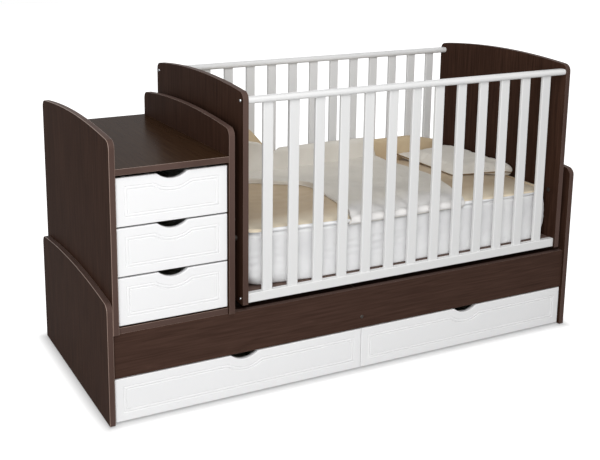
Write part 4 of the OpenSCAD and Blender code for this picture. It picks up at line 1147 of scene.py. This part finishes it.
# %% Floor, background and lamps
FLOOR_GREY = 0.56
FLOOR_GLOW = 0.28
SHADOW_REACH = 0.055
FLOOR_HALF = 14.0
WORLD_LIGHT = 0.4


def stage_floor():
    """A white floor that keeps the contact shadow: away from the footprint it glows for the camera."""
    material, tree, shader = start_finish("studio floor", Roughness=0.9, Specular_IOR_Level=0.1)
    shader.inputs["Base Color"].default_value = (FLOOR_GREY, FLOOR_GREY, FLOOR_GREY, 1)
    seen = add(tree, "ShaderNodeLightPath").outputs["Is Camera Ray"]
    place = add(tree, "ShaderNodeTexCoord").outputs["Object"]
    corner = (cad_bounds[1][0], cad_bounds[1][1], 0)
    away = place
    for operation, other in (("ABSOLUTE", (0, 0, 0)), ("SUBTRACT", corner), ("MAXIMUM", (0, 0, 0))):
        away = add(tree, "ShaderNodeVectorMath", {"operation": operation}, i0=away, i1=other).outputs[0]
    away = add(tree, "ShaderNodeVectorMath", {"operation": "LENGTH"}, i0=away).outputs["Value"]
    glow = spread(tree, away, 0.0, SHADOW_REACH, FLOOR_GLOW, 1.0)
    glow = add(tree, "ShaderNodeMath", {"operation": "MULTIPLY"}, i0=glow, i1=seen).outputs[0]
    light = add(tree, "ShaderNodeEmission", Color=(1, 1, 1, 1), Strength=glow)
    both = add(tree, "ShaderNodeAddShader", i0=shader.outputs[0], i1=light.outputs[0])
    tree.links.new(both.outputs[0], tree.nodes["Material Output"].inputs["Surface"])
    mesh = bpy.data.meshes.new("floor")
    h = FLOOR_HALF
    mesh.from_pydata([(-h, -h, 0), (h, -h, 0), (h, h, 0), (-h, h, 0)], [], [(0, 1, 2, 3)])
    mesh.materials.append(material)
    floor = bpy.data.objects.new("floor", mesh)
    bpy.context.scene.collection.objects.link(floor)


def sky():
    """White to the camera and in reflections, and a softer even light on the object."""
    world = bpy.data.worlds.new("studio")
    bpy.context.scene.world = world
    world.use_nodes = True
    tree = world.node_tree
    rays = add(tree, "ShaderNodeLightPath")
    seen = rays.outputs["Is Camera Ray"]
    for other in ("Is Glossy Ray", "Is Transmission Ray"):
        seen = add(tree, "ShaderNodeMath", {"operation": "MAXIMUM"}, i0=seen, i1=rays.outputs[other])
        seen = seen.outputs[0]
    background = tree.nodes["Background"]
    background.inputs["Color"].default_value = (1, 1, 1, 1)
    tree.links.new(spread(tree, seen, 0, 1, WORLD_LIGHT, 1.0), background.inputs["Strength"])


def lamp(name, place, target, size, watts):
    """A square soft box at place that faces target."""
    data = bpy.data.lights.new(name, "AREA")
    data.shape = "SQUARE"
    data.size = size
    data.energy = watts
    light = bpy.data.objects.new(name, data)
    light.location = place
    light.rotation_euler = (Vector(target) - Vector(place)).to_track_quat("-Z", "Y").to_euler()
    bpy.context.scene.collection.objects.link(light)
    print(f"lamp {name}: {watts} W, {size} m wide")


stage_floor()
sky()
lamp("key", (-2.8, -3.6, 1.6), (0, 0, 0.45), 2.2, 88)
lamp("over", (-0.6, -2.2, 3.2), (0.2, 0.1, 0.5), 1.8, 52)
bpy.context.scene.view_settings.view_transform = "Standard"
